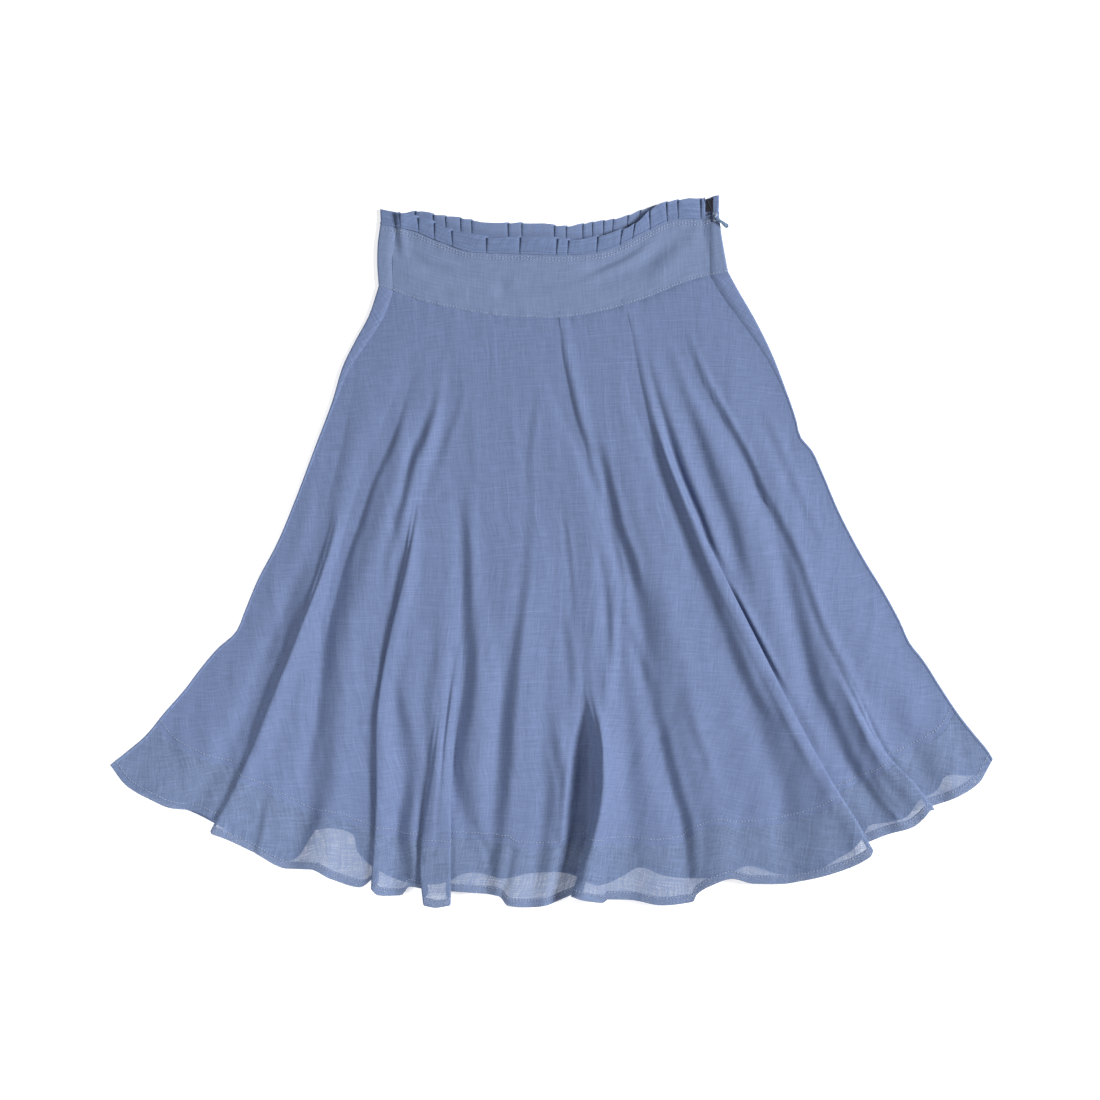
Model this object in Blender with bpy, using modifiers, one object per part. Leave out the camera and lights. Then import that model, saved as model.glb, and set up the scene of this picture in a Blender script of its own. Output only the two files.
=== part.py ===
"""A voile circle skirt laid flat, front side up.

Places on the cloth are millimetres on the laying table: x runs right and y runs down from the table's far
left corner. Heights are millimetres above the table. Each panel is a wall lofted through rings that run
across the skirt, from the yoke seam at share 0 to the hem at share 1.
"""
import math
from collections import namedtuple

import bmesh
import bpy
import numpy as np
from mathutils import Matrix, Vector

NAME = "circle_skirt"
MM = 0.001
TABLE_CENTRE = (551.58, 550.46)

# Cloth
WALL = 1.1
SKIRT_DEPTH, YOKE_DEPTH, FRILL_DEPTH = 560.0, 60.0, 14.0
SEAM_GAP = 0.35
TURN_GAP = 0.55
FOLD_RISE = 3.2
YOKE_HEIGHT = 4.7
SWEEP_HEIGHT = 11.0
LOW_HEIGHT = 4.6
EDGE_REACH = 60.0
SWELL_FULL = 0.55
FLOUNCE_SHARE = 0.89
HEM_SHAPING = 0.74
BACK_BLEND = (0.03, 0.16)
CHANNEL_MARGIN = (20.0, 60.0)

# The outline of the laid-out skirt, x and y
LEFT_EDGE = ((378, 286), (368, 316), (355, 340), (343, 364), (332, 400), (314, 448), (296, 496), (276, 544),
             (250, 592), (225, 640), (204, 664), (185, 688), (164, 712), (144, 736), (125, 752), (110, 764))
RIGHT_EDGE = ((729, 272), (740, 292), (754, 316), (772, 352), (786, 388), (799, 424), (817, 460), (838, 508),
              (863, 556), (892, 604), (919, 652), (942, 688), (958, 712), (977, 736), (987, 748), (993, 757.6))
YOKE_SEAM = ((378, 286), (400, 294), (423, 302), (455, 309), (496, 316), (530, 318), (560, 318), (600, 312),
             (650, 297), (690, 281), (729, 272))
HEM_SWEEP = ((110, 764), (127, 785), (152, 799), (193, 815), (254, 850), (311, 871), (361, 885), (420, 893),
             (480, 898), (545, 900), (604, 899), (662, 899), (720, 889), (781, 882), (839, 869), (872, 850),
             (912, 826), (950, 800), (978, 782), (993, 757.6))
BACK_HEM = ((110, 764), (127, 785), (152, 797), (193, 812), (255, 846), (300, 864), (320, 848), (340, 836),
            (372, 856), (420, 884), (446, 882), (468, 873), (492, 876), (530, 872), (570, 873), (604, 884),
            (636, 868), (690, 868), (740, 874), (781, 876), (820, 871), (850, 860), (880, 838), (915, 815),
            (937, 797), (960, 786), (983, 768), (993, 757.6))

# The front hem between the deep folds, one row of x and y points for each stretch
HEM_STRETCHES = (
    ((110, 764), (127, 785), (152, 799), (171, 807), (193, 810), (216, 819.5)),
    ((209, 831), (225, 837), (254, 851), (289, 868), (311, 868), (332, 877.5), (361, 886), (373, 877.5)),
    ((372, 888), (379, 893.6), (392, 895), (401, 894.5), (410, 885.5), (425, 888)),
    ((425, 904), (436, 906), (449, 904)),
    ((451, 890), (476, 892), (499, 895), (508, 904), (529, 906), (545, 904.6), (565, 897), (572, 893)),
    ((572, 894.5), (583, 898), (604, 901.6), (606, 898), (631, 899), (662, 904), (693, 901), (695, 895),
     (710, 884.6), (731, 877.5), (753, 882.5), (781, 883), (801, 880), (839, 870), (869, 855), (872, 850)),
    ((867, 841), (888, 833), (912, 826), (922.5, 817), (929, 809)),
    ((928.6, 806), (950, 799), (978, 782.5), (988, 767), (993, 757.6)),
)

# Deep folds of the front, where one side of the cloth lies over the other. Each starts and is full at a share
# of the way down, and its path is the visible edge.
Fold = namedtuple("Fold", "name side overlap spacing crest start full path")
DEEP_FOLDS = (
    Fold("left_fold", "right", 7.0, 2.8, 15.0, 0.36, 0.80,
     ((352, 330), (345, 400), (332, 522), (294, 640), (248, 756), (212, 826))),
    Fold("left_centre_fold", "right", 6.5, 2.8, 15.0, 0.28, 0.62,
     ((452, 320), (432, 410), (420, 470), (405, 560), (389, 640), (378, 711), (377, 800), (372, 886))),
    Fold("pleat_left", "right", 4.0, 2.6, 10.0, 0.62, 0.95,
     ((474, 330), (468, 500), (448, 640), (432, 760), (421, 860), (425, 904))),
    Fold("pleat_right", "left", 4.0, 2.6, 10.0, 0.52, 0.90,
     ((494, 330), (486, 500), (466, 640), (453, 760), (451, 840), (451, 904))),
    Fold("tunnel", "right", 9.0, 6.0, 17.0, 0.56, 0.80,
     ((556, 330), (572, 500), (585, 690), (597, 756), (592, 818), (586, 850), (573, 893))),
    Fold("right_fold", "left", 8.0, 3.0, 17.0, 0.18, 0.45,
     ((640, 330), (662, 424), (689, 501), (724, 577), (756, 640), (792, 711), (828, 776), (859, 826),
      (871, 849))),
    Fold("far_right_fold", "left", 7.0, 2.8, 14.0, 0.58, 0.90,
     ((706, 330), (750, 450), (800, 570), (829, 643), (852, 690), (890, 760), (912, 786), (929, 807))),
)
STRETCH_POINTS = (5, 8, 3, 1, 7, 15, 4, 4)
STRETCH_LIFTS = (0.0, 0.0, 0.0, 5.0, 0.0, 0.0, 0.0, 0.0)
# A fold rises over the first share of its start, and turns under itself after the second
RISE_SHARE, TURN_START = 0.5, 0.25
# Reach of a fold on its lower side, the room kept between folds, and the corner and run-out of its turns
APPROACH, FOLD_ROOM = 10.0, 1.5
TURN_CORNER, TURN_RUN = 0.4, 3.2
# How far past the hidden turn the crest is held up, and is at least half way down
CREST_HOLD, CREST_CLEARANCE = 2.0, 5.0
STRETCH_ONSET = (0.62, 0.92)
CREASE_ONSET = 0.14

# Soft ridges and troughs: rises near the start, half way and at the hem (under 0 in a trough), half widths at
# the start and at the hem, share of the way down where it starts, and the path of its middle
Crease = namedtuple("Crease", "name rises widths start path")
FRONT_CREASES = (
    Crease("left_trough", (-2.5, -7.0, -6.0), (12, 16), 0.05,
     ((409, 396), (375, 482), (342, 587), (334, 640), (330, 711), (321, 783), (300, 861))),
    Crease("left_edge_trough", (-2.0, -5.0, -3.0), (10, 12), 0.12,
     ((350, 400), (338, 480), (322, 540), (282, 640), (236, 756), (200, 815))),
    Crease("left_ridge", (1.0, 5.0, 6.0), (12, 18), 0.25,
     ((400, 400), (362, 590), (352, 700), (345, 800), (335, 870))),
    Crease("left_centre_trough", (-2.0, -5.5, -8.0), (9, 12), 0.45,
     ((405, 640), (399, 693), (412, 783), (406, 815), (402, 890))),
    Crease("centre_trough", (-1.5, -5.5, -4.0), (10, 12), 0.30,
     ((492, 420), (478, 560), (465, 640), (458, 783), (474, 826), (483, 885))),
    Crease("centre_ridge", (1.0, 4.0, 2.0), (10, 14), 0.35,
     ((506, 500), (488, 693), (483, 800), (490, 890))),
    Crease("centre_dip", (-1.5, -4.5, -4.0), (9, 12), 0.42,
     ((520, 560), (504, 729), (501, 818), (502, 900))),
    Crease("middle_ridge", (1.5, 5.0, 5.0), (16, 22), 0.30,
     ((535, 480), (530, 700), (526, 800), (528, 900))),
    Crease("middle_dip", (-1.0, -3.5, -4.0), (8, 10), 0.60,
     ((572, 650), (561, 747), (552, 800), (542, 870), (538, 900))),
    Crease("tunnel_left_ridge", (1.5, 7.0, 3.0), (10, 13), 0.50,
     ((573, 600), (568, 740), (565, 800), (556, 895))),
    Crease("tunnel_trough", (-2.0, -8.0, -6.0), (8, 11), 0.50,
     ((590, 640), (586, 760), (581, 840), (568, 893))),
    Crease("tunnel_crest", (1.5, 5.0, 2.0), (13, 16), 0.42,
     ((610, 590), (612, 700), (614, 780), (598, 900))),
    Crease("right_middle_dip", (-2.0, -4.5, -3.0), (9, 13), 0.35,
     ((604, 500), (626, 640), (636, 740), (640, 890))),
    Crease("long_trough", (-2.0, -7.0, -6.0), (9, 13), 0.02,
     ((559, 325), (561, 376), (578, 424), (603, 463), (611, 491), (620, 539), (641, 592), (655, 694),
      (671, 765), (690, 830), (696, 895))),
    Crease("right_ridge", (1.5, 6.0, 6.0), (12, 20), 0.15,
     ((600, 400), (652, 520), (676, 600), (710, 740), (735, 880))),
    Crease("right_trough", (-2.0, -6.5, -4.5), (10, 15), 0.02,
     ((624, 323), (632, 376), (647, 434), (670, 510), (685, 558), (712, 640), (756, 693), (782, 760),
      (800, 880))),
    Crease("right_fold_crest", (1.5, 4.5, 3.0), (12, 18), 0.15,
     ((650, 440), (700, 560), (760, 680), (820, 790), (846, 860))),
    Crease("far_right_trough", (-2.5, -7.0, -5.0), (10, 13), 0.03,
     ((683, 342), (718, 419), (741, 457), (766, 501), (789, 564), (800, 622), (818, 674), (840, 738),
      (890, 832))),
    Crease("far_right_ridge", (1.0, 4.0, 4.0), (12, 16), 0.30,
     ((770, 480), (815, 590), (840, 655), (875, 745), (905, 820))),
    Crease("right_corner_trough", (-0.5, -2.5, -4.0), (12, 14), 0.62,
     ((858, 600), (895, 700), (928, 760), (948, 800))),
)
# Low channels of the back panel, which lies on the table
BACK_CREASES = (
    Crease("back_left", (0.8, 2.0, 2.2), (10, 15), 0.12, ((430, 360), (390, 500), (330, 700), (270, 850))),
    Crease("back_left_centre", (0.6, 1.8, 2.2), (9, 14), 0.20, ((480, 360), (460, 560), (430, 720), (410, 880))),
    Crease("back_centre", (0.8, 2.0, 2.2), (9, 14), 0.10, ((545, 340), (530, 560), (510, 720), (498, 880))),
    Crease("back_right_centre", (0.8, 2.2, 2.2), (9, 14), 0.25, ((600, 400), (612, 560), (628, 720), (640, 870))),
    Crease("back_right", (0.8, 2.0, 2.2), (10, 14), 0.10, ((640, 350), (690, 520), (740, 700), (790, 870))),
    Crease("back_far_right", (0.6, 1.8, 2.0), (10, 15), 0.25, ((700, 380), (770, 540), (850, 700), (890, 820))),
)

# Yoke, from the waist seam to the yoke seam
YOKE_LEFT = ((380, 222), (377, 244), (376.5, 262), (378, 286))
YOKE_RIGHT = ((719.5, 212), (722, 232), (726, 256), (729, 272))
FRONT_WAIST = ((380, 222), (400, 226), (417, 230), (431, 236), (452, 244), (466, 249), (487, 251), (522, 252),
               (568, 253), (596, 251), (612, 247.5), (626, 241), (641, 233.5), (655, 226), (669, 219.5),
               (681, 217), (706, 216.5), (719.5, 212))
BACK_WAIST = ((380, 222), (400, 225), (438, 229), (472, 236), (515, 239), (555, 241), (595, 239), (635, 226),
              (668, 218), (700, 216), (719.5, 212))
Trough = namedtuple("Trough", "name depth half_width path")
YOKE_TROUGHS = (
    Trough("band_trough", -2.0, 9.0, ((505, 290), (550, 287), (600, 281), (645, 262), (680, 238), (694, 224))),
    Trough("left_band_trough", -1.2, 8.0, ((405, 256), (430, 268), (465, 279), (500, 284))),
)

RELIEF_MARGIN = (18.0, 48.0)
RELIEF_SEAM_FADE = 0.125

# Frills, from the waist seam to the top edge
FRILL_LEFT = ((379.5, 208), (380, 222))
FRILL_RIGHT = ((720, 195), (719.5, 212))
FRONT_FRILL_TOP = ((379.5, 208), (400, 213), (421, 218), (435, 223), (449, 230), (466, 233), (486, 237),
                   (522, 237), (556, 238), (570, 240), (596, 237), (612, 233), (628, 228), (640, 221),
                   (650, 211), (658, 205), (672, 201), (689, 199), (700, 199.5), (708, 198.5), (720, 195))
BACK_FRILL_TOP = ((379.5, 208), (400, 211.5), (424, 211), (438, 215), (451, 217), (466, 219), (501, 222.6),
                  (539, 224), (575, 225), (595, 222), (627, 216), (645, 209), (659, 205), (675, 203),
                  (700, 203), (712, 198), (720, 195))
FRONT_PLEATS = 22
BACK_PLEATS = 22
FRONT_PLEAT_HEIGHT = 2.6
BACK_PLEAT_HEIGHT = 1.6
PLEAT_BASE_SHARE = 0.4
PLEAT_UNEVENNESS = 0.28
# Share across a pleat and share of its height, from its low edge to its high one
PLEAT_PROFILE = ((0.0, 0.0), (0.5, 0.62), (0.86, 1.0))
PLEAT_MARGIN = (4.0, 18.0)
YOKE_BLEND = (0.07, 0.17)
FRILL_BLEND = (0.05, 0.10)

# Side seams: distance in from each fold edge
LEFT_SEAM_TOP, RIGHT_SEAM_WAIST, RIGHT_SEAM_TOP, SEAM_HEM = 17.0, 10.0, 19.5, 6.0
FRONT_FRILL_END = 15.5
BACK_FRILL_END = 7.0

# Zip
TAPE_SIZE = (6.4, 12.6, 1.0)
TAPE_BEVEL = 0.2
TAPE_CENTRE = (709.2, 205.6)
SLIDER_CENTRE = (714.6, 217.5)
SLIDER_SIZE = (5.2, 9.4, 1.9)
SLIDER_LIFT = 0.3
SLIDER_BEVEL = 0.5
HINGE_RISE = 2.2
BAR_RADIUS = 0.45
LEG_SPREAD = 2.1
LEG_WIDTH = 0.9
LEG_BEVEL = 0.12
PULL_HEADING = -38.0
PULL_DROOP = 5.0
PULL_LENGTH = 17.0
PULL_WIDTH = 4.6
PULL_NECK = 2.0
PULL_THICKNESS = 1.0
NECK_START = 0.81
PULL_SWEEP, PULL_SEGMENTS = 105.0, 12
KNUCKLE_RADIUS = 1.35
KNUCKLE_BORE = 0.8
KNUCKLE_LENGTH = 2.4
BAR_SIDES, KNUCKLE_SIDES = 10, 16

# Mesh density: shares of the rings, and columns across the plainer pieces
SKIRT_ROWS = (0.0, 0.08, 0.17, 0.26, 0.35, 0.44, 0.52, 0.60, 0.67, 0.74, 0.80, 0.86)
FLOUNCE_ROWS = (0.92, 0.958, 1.0)
BACK_COLUMNS = 30
YOKE_COLUMNS = 38
YOKE_ROWS = (0.0, 0.34, 0.68)
FRILL_ROWS = (0.0, 0.4, 1.0)
TURN_ANGLES = (-90, -45, 0, 45, 90)


def smooth(value):
    """Ease from 0 to 1."""
    value = np.clip(value, 0.0, 1.0)
    return value * value * (3 - 2 * value)


def onset(value, start, full):
    """Ease from 0 at the start to 1 where it is full."""
    return smooth((value - start) / (full - start))


def hermite(knots, values, at):
    """Read a smooth curve through values at knots."""
    slopes = np.gradient(values, knots, axis=0)
    at = np.asarray(at, float)
    span = np.clip(np.searchsorted(knots, at, side="right") - 1, 0, len(knots) - 2)
    width = knots[span + 1] - knots[span]
    f = (at - knots[span]) / width
    if values.ndim > 1:
        f, width = f[..., None], width[..., None]
    return ((2 * f ** 3 - 3 * f ** 2 + 1) * values[span] + (f ** 3 - 2 * f ** 2 + f) * width * slopes[span]
            + (3 * f ** 2 - 2 * f ** 3) * values[span + 1] + (f ** 3 - f ** 2) * width * slopes[span + 1])


class Line:
    """A smooth line through a few points, read by its share of length."""

    def __init__(self, points):
        self.points = np.array(points, float)
        steps = np.linalg.norm(np.diff(self.points, axis=0), axis=1)
        self.knots = np.concatenate(([0.0], np.cumsum(steps))) / steps.sum()

    def at(self, share):
        return hermite(self.knots, self.points, np.clip(share, 0.0, 1.0))


class Patch:
    """A smooth piece of cloth in plan between two fold edges and two seams."""

    def __init__(self, left, right, top, bottom):
        self.left, self.right, self.top, self.bottom = Line(left), Line(right), Line(top), Line(bottom)

    def at(self, across, down):
        across, down = np.broadcast_arrays(np.asarray(across, float), np.asarray(down, float))
        u, t = across[..., None], down[..., None]
        sides = (1 - u) * self.left.at(down) + u * self.right.at(down)
        ends = (1 - t) * self.top.at(across) + t * self.bottom.at(across)
        corners = ((1 - u) * (1 - t) * self.top.points[0] + u * (1 - t) * self.top.points[-1]
                   + (1 - u) * t * self.bottom.points[0] + u * t * self.bottom.points[-1])
        return sides + ends - corners

    def width(self, down):
        """Length of each ring across the patch."""
        across = np.linspace(0, 1, 81)[:, None]
        steps = np.diff(self.at(across, np.atleast_1d(down)[None, :]), axis=0)
        return np.linalg.norm(steps, axis=2).sum(axis=0)

    def crossing(self, path, down):
        """Share across at which each ring meets a path."""
        path = np.array(path, float)
        across = np.linspace(0, 1, 241)
        plan = self.at(across[None, :], np.asarray(down)[:, None])
        y = plan[..., 1]
        on_path = hermite(path[:, 1], path[:, 0], np.clip(y, path[0, 1], path[-1, 1]))
        start_slope = (path[1, 0] - path[0, 0]) / (path[1, 1] - path[0, 1])
        end_slope = (path[-1, 0] - path[-2, 0]) / (path[-1, 1] - path[-2, 1])
        on_path += np.minimum(y - path[0, 1], 0) * start_slope + np.maximum(y - path[-1, 1], 0) * end_slope
        ahead = plan[..., 0] - on_path
        shares = []
        for row in ahead:
            after = int(np.argmax(row > 0)) if (row > 0).any() else len(row) - 1
            after = max(after, 1)
            before = after - 1
            shares.append(across[before] + (across[after] - across[before])
                          * np.clip(-row[before] / (row[after] - row[before]), 0, 1))
        return np.array(shares)


def base_height(edge_distance, down):
    """Height of the front's middle surface, from the side folds to the middle."""
    edge = WALL / 2 + FOLD_RISE
    middle = YOKE_HEIGHT + (SWEEP_HEIGHT - YOKE_HEIGHT) * onset(down, 0.0, SWELL_FULL)
    return edge + (middle - edge) * smooth(edge_distance / EDGE_REACH)


def lowest_height(edge_distance):
    """Height that keeps the front's wall clear of the back's."""
    edge = WALL / 2 + FOLD_RISE
    return edge + (LOW_HEIGHT - edge) * smooth(edge_distance / EDGE_REACH)


def crease_rise(creases, patch, across, down):
    """Sum of the soft ridges and troughs at points of a patch, on a grid of columns by rings."""
    width = patch.width(down)
    total = np.zeros(across.shape)
    for crease in creases:
        start = crease.start
        ramp = np.interp(down, (start, start + CREASE_ONSET, (start + 1) / 2, 1.0), (0.0, *crease.rises))
        half_width = np.interp(down, (start, 1.0), crease.widths)
        distance = (across - patch.crossing(crease.path, down)[None, :]) * width[None, :]
        total += ramp[None, :] * np.exp(-(distance / half_width[None, :]) ** 2)
    return total


def skirt_seam_offsets(down):
    """Distance of the side seams in from the fold edges, left and right."""
    return (LEFT_SEAM_TOP + (SEAM_HEM - LEFT_SEAM_TOP) * down,
            RIGHT_SEAM_TOP + (SEAM_HEM - RIGHT_SEAM_TOP) * down)


def path_distance(plan, path):
    """Distance of plan points from a line through a few points."""
    line = Line(path).at(np.linspace(0, 1, 40))
    return np.linalg.norm(plan[..., None, :] - line, axis=-1).min(axis=-1)


class FrontSkirt:
    """The front from the yoke seam to the hem, with its deep folds."""

    def __init__(self):
        self.patch = Patch(LEFT_EDGE, RIGHT_EDGE, YOKE_SEAM, HEM_SWEEP)

    def seams(self, down, width):
        """Share across at which the front ends by its left and right side seams."""
        left, right = skirt_seam_offsets(down)
        return (left + SEAM_GAP / 2) / width, 1 - (right + SEAM_GAP / 2) / width

    def fold_edges(self, down, width, scale, left, right):
        """Share across of each deep fold's edge, kept clear of the side seams and of each other."""
        rooms = []
        for fold in DEEP_FOLDS:
            low_side, high_side = APPROACH * scale + FOLD_ROOM, fold.crest * scale + FOLD_ROOM
            rooms.append((low_side, high_side) if fold.side == "right" else (high_side, low_side))
        edges = []
        limit = left
        for fold, (before, after) in zip(DEEP_FOLDS, rooms):
            edges.append(np.maximum(self.patch.crossing(fold.path, down), limit + before / width))
            limit = edges[-1] + after / width
        limit = right
        for i, (before, after) in reversed(list(enumerate(rooms))):
            edges[i] = np.minimum(edges[i], limit - after / width)
            limit = edges[i] - before / width
        return edges

    def controls(self, down):
        """Control points of each ring: share across, lift, and the stretch of hem each belongs to."""
        width = self.patch.width(down)
        scale = width / self.patch.width(1.0)
        left, right = self.seams(down, width)
        edges = self.fold_edges(down, width, scale, left, right)
        across, lift, stretch, turning = [left], [np.zeros_like(width)], [0.0], [0.0]
        for i in range(len(DEEP_FOLDS) + 1):
            last = i == len(DEEP_FOLDS)
            template = None if last else self.fold(i, edges[i], width, scale, down)
            end = right if last else template[0][0]
            begin = across[-1]
            for j in range(STRETCH_POINTS[i]):
                share = (j + 1) / (STRETCH_POINTS[i] + 1)
                across.append(begin + (end - begin) * share)
                lift.append(STRETCH_LIFTS[i] * onset(down, *STRETCH_ONSET))
                stretch.append(float(i))
                turning.append(0.0)
            if last:
                across.append(end)
                lift.append(np.zeros_like(width))
                stretch.append(float(i))
                turning.append(0.0)
            else:
                across += template[0]
                lift += template[1]
                stretch += template[2]
                turning += template[3]
        stretch = np.array(stretch)[:, None] * np.ones_like(width)[None, :]
        return np.array(across), np.array(lift), stretch, turning

    def fold(self, index, edge, width, scale, down):
        """Control points of one deep fold, which turns back under its flap, from its lower side on."""
        fold = DEEP_FOLDS[index]
        under, top = (index, index + 1) if fold.side == "right" else (index + 1, index)
        low = STRETCH_LIFTS[under]
        middle = low + fold.spacing
        high = low + 2 * fold.spacing
        crest_fall = high - STRETCH_LIFTS[top]
        approach, crest = APPROACH * scale, fold.crest * scale
        turn = fold.overlap + TURN_CORNER
        # Reach past the visible edge, lift, share of the way on to the upper stretch, and whether it is turning
        rows = (
            (-approach, low, 0.0, 0.0),
            (-approach / 3, low, 0.0, 0.0),
            (fold.overlap - TURN_RUN, low, 0.0, 1.0),
            (turn, low, 0.0, 1.0),
            (turn, middle, 0.25, 1.0),
            (fold.overlap / 2, middle, 0.5, 1.0),
            (-TURN_CORNER, middle, 0.75, 1.0),
            (-TURN_CORNER, high, 1.0, 1.0),
            (TURN_RUN, high, 1.0, 1.0),
            (fold.overlap + CREST_HOLD, high - 0.08 * crest_fall, 1.0, 0.0),
            (np.maximum(crest, fold.overlap + CREST_CLEARANCE), high - crest_fall / 2, 1.0, 0.0),
        )
        formed = (down - fold.start) / (fold.full - fold.start)
        risen = smooth(formed / RISE_SHARE)
        turned = onset(formed, TURN_START, 1.0)
        sign = 1 if fold.side == "right" else -1
        across, lift, stretch, turning = [], [], [], []
        for i, (reach, height, share, turns) in enumerate(rows):
            flat = -approach + (approach + crest) * i / (len(rows) - 1)
            across.append(edge + sign * (flat + (reach - flat) * turned) / width)
            lift.append(height * risen)
            stretch.append(under + (top - under) * share)
            turning.append(turns)
        if fold.side == "left":
            return across[::-1], lift[::-1], stretch[::-1], turning[::-1]
        return across, lift, stretch, turning

    def hem_shift(self, across, down, stretch):
        """How far the hem of each stretch lies below the smooth sweep."""
        sweep = self.patch.bottom.at(across)
        shift = np.zeros(across.shape)
        for i, rows in enumerate(HEM_STRETCHES):
            rows = np.array(rows, float)
            share = np.clip(1 - np.abs(stretch - i), 0, 1)
            shift += share * (np.interp(sweep[..., 0], rows[:, 0], rows[:, 1]) - sweep[..., 1])
        return shift * onset(down, HEM_SHAPING, 1.0)

    def plan(self, across, down, stretch):
        plan = self.patch.at(across, down)
        plan[..., 1] += self.hem_shift(across, down, stretch)
        return plan

    def points(self, down, joined_row=None):
        """Middle surface of the front, columns by rings, drawn back from a joined row where it is folded."""
        down = np.array(down, float)
        across, lift, stretch, turning = self.controls(down)
        across, lift, stretch = (knot_values(rows) for rows in (across, lift, stretch))
        width = self.patch.width(down)
        plan = self.plan(across, down[None, :], stretch)
        edge_distance = np.minimum(across, 1 - across) * width[None, :]
        height = base_height(edge_distance, down[None, :])
        height += crease_rise(FRONT_CREASES, self.patch, across, down)
        height = np.maximum(height, lowest_height(edge_distance)) + lift
        points = np.dstack((plan, height))
        if joined_row is not None:
            inner = joined_row + (1 if joined_row == 0 else -1)
            step = points[:, inner] - points[:, joined_row]
            reach = np.linalg.norm(step, axis=1, keepdims=True)
            points[:, joined_row] += step / reach * np.array(turning)[:, None] * TURN_GAP
        return points


def knot_values(rows):
    """Read a smooth uniform spline at its knots."""
    ends = np.vstack((2 * rows[0] - rows[1], rows, 2 * rows[-1] - rows[-2]))
    return (ends[:-2] + 4 * ends[1:-1] + ends[2:]) / 6


def wrapped_rings(columns, width, left_end, right_end, down):
    """Share across, height and share on the front side, of the columns of a back piece round both folds."""
    radius = FOLD_RISE / 2
    inset, turn_end = WALL / 2, WALL / 2 + radius

    def front_side(end):
        rows = [(end + (turn_end - end) * share, base_height(end + (turn_end - end) * share, down), 1.0)
                for share in (0.0, 0.5)]
        for angle in TURN_ANGLES:
            lean = math.radians(angle)
            rows.append((inset + radius * (1 - math.cos(lean)), inset + radius * (1 - math.sin(lean)),
                         0.5 - angle / 180))
        return rows

    rows = [(place / width, height, top) for place, height, top in front_side(left_end)]
    begin = turn_end / width
    for i in range(columns):
        rows.append((begin + (1 - 2 * begin) * (i + 1) / (columns + 1), inset, 0.0))
    rows += [(1 - place / width, height, top) for place, height, top in front_side(right_end)][::-1]
    level = np.ones_like(width)
    return tuple(np.array([row[part] * level for row in rows]) for part in range(3))


def back_skirt_points(front, down):
    """Middle surface of the back, from seam to seam round both side folds."""
    down = np.array(down, float)
    patch = Patch(LEFT_EDGE, RIGHT_EDGE, YOKE_SEAM, BACK_HEM)
    width = front.patch.width(down)
    left, right = skirt_seam_offsets(down)
    across, height, on_top = wrapped_rings(BACK_COLUMNS, width, left - SEAM_GAP / 2, right - SEAM_GAP / 2,
                                           down)
    stretch = np.where(across < 0.5, 0.0, float(len(DEEP_FOLDS)))
    shaped = front.plan(across, down[None, :], stretch)
    inside = np.minimum(across, 1 - across)
    share = onset(inside, *BACK_BLEND)[..., None]
    plan = shaped * (1 - share) + patch.at(across, down[None, :]) * share
    flat = onset(inside * width, *CHANNEL_MARGIN) * (1 - on_top)
    height = height + crease_rise(BACK_CREASES, patch, across, down) * flat
    return np.dstack((plan, height))


def yoke_seam_offsets(down):
    right = RIGHT_SEAM_WAIST + (RIGHT_SEAM_TOP - RIGHT_SEAM_WAIST) * down
    return LEFT_SEAM_TOP + 0 * down, right


def yoke_relief(plan):
    relief = np.zeros(plan.shape[:-1])
    for trough in YOKE_TROUGHS:
        relief += trough.depth * np.exp(-(path_distance(plan, trough.path) / trough.half_width) ** 2)
    return relief


def front_yoke_points(down):
    down = np.array(down, float)
    patch = Patch(YOKE_LEFT, YOKE_RIGHT, FRONT_WAIST, YOKE_SEAM)
    width = patch.width(down)
    left, right = yoke_seam_offsets(down)
    begin = (left + SEAM_GAP / 2) / width
    end = 1 - (right + SEAM_GAP / 2) / width
    across = begin + (end - begin) * np.linspace(0, 1, YOKE_COLUMNS)[:, None]
    plan = patch.at(across, down[None, :])
    edge_distance = np.minimum(across, 1 - across) * width
    within = onset(edge_distance, *RELIEF_MARGIN) * onset(down * (1 - down), 0.0, RELIEF_SEAM_FADE)
    height = base_height(edge_distance, 0 * down) + yoke_relief(plan) * within
    return np.dstack((plan, height))


def back_yoke_points(down):
    down = np.array(down, float)
    front = Patch(YOKE_LEFT, YOKE_RIGHT, FRONT_WAIST, YOKE_SEAM)
    back = Patch(YOKE_LEFT, YOKE_RIGHT, BACK_WAIST, YOKE_SEAM)
    width = front.width(down)
    left, right = yoke_seam_offsets(down)
    across, height, _ = wrapped_rings(BACK_COLUMNS, width, left - SEAM_GAP / 2, right - SEAM_GAP / 2,
                                      0 * down)
    inside = np.minimum(across, 1 - across)
    share = onset(inside, *YOKE_BLEND)[..., None]
    plan = front.at(across, down[None, :]) * (1 - share) + back.at(across, down[None, :]) * share
    return np.dstack((plan, height))


def pleat_marks(count, begin, end):
    """Places of uneven knife pleats between two shares: low edge, swell and high edge of each."""
    sizes = [1 + PLEAT_UNEVENNESS * math.sin(2.3 * i) + PLEAT_UNEVENNESS * 0.6 * math.sin(5.1 * i + 1)
             for i in range(count)]
    marks = []
    place = begin
    for size in sizes:
        step = size / sum(sizes) * (end - begin)
        marks += [(place + at * step, rise) for at, rise in PLEAT_PROFILE]
        place += step
    marks.append((end, 0.0))
    return marks


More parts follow.
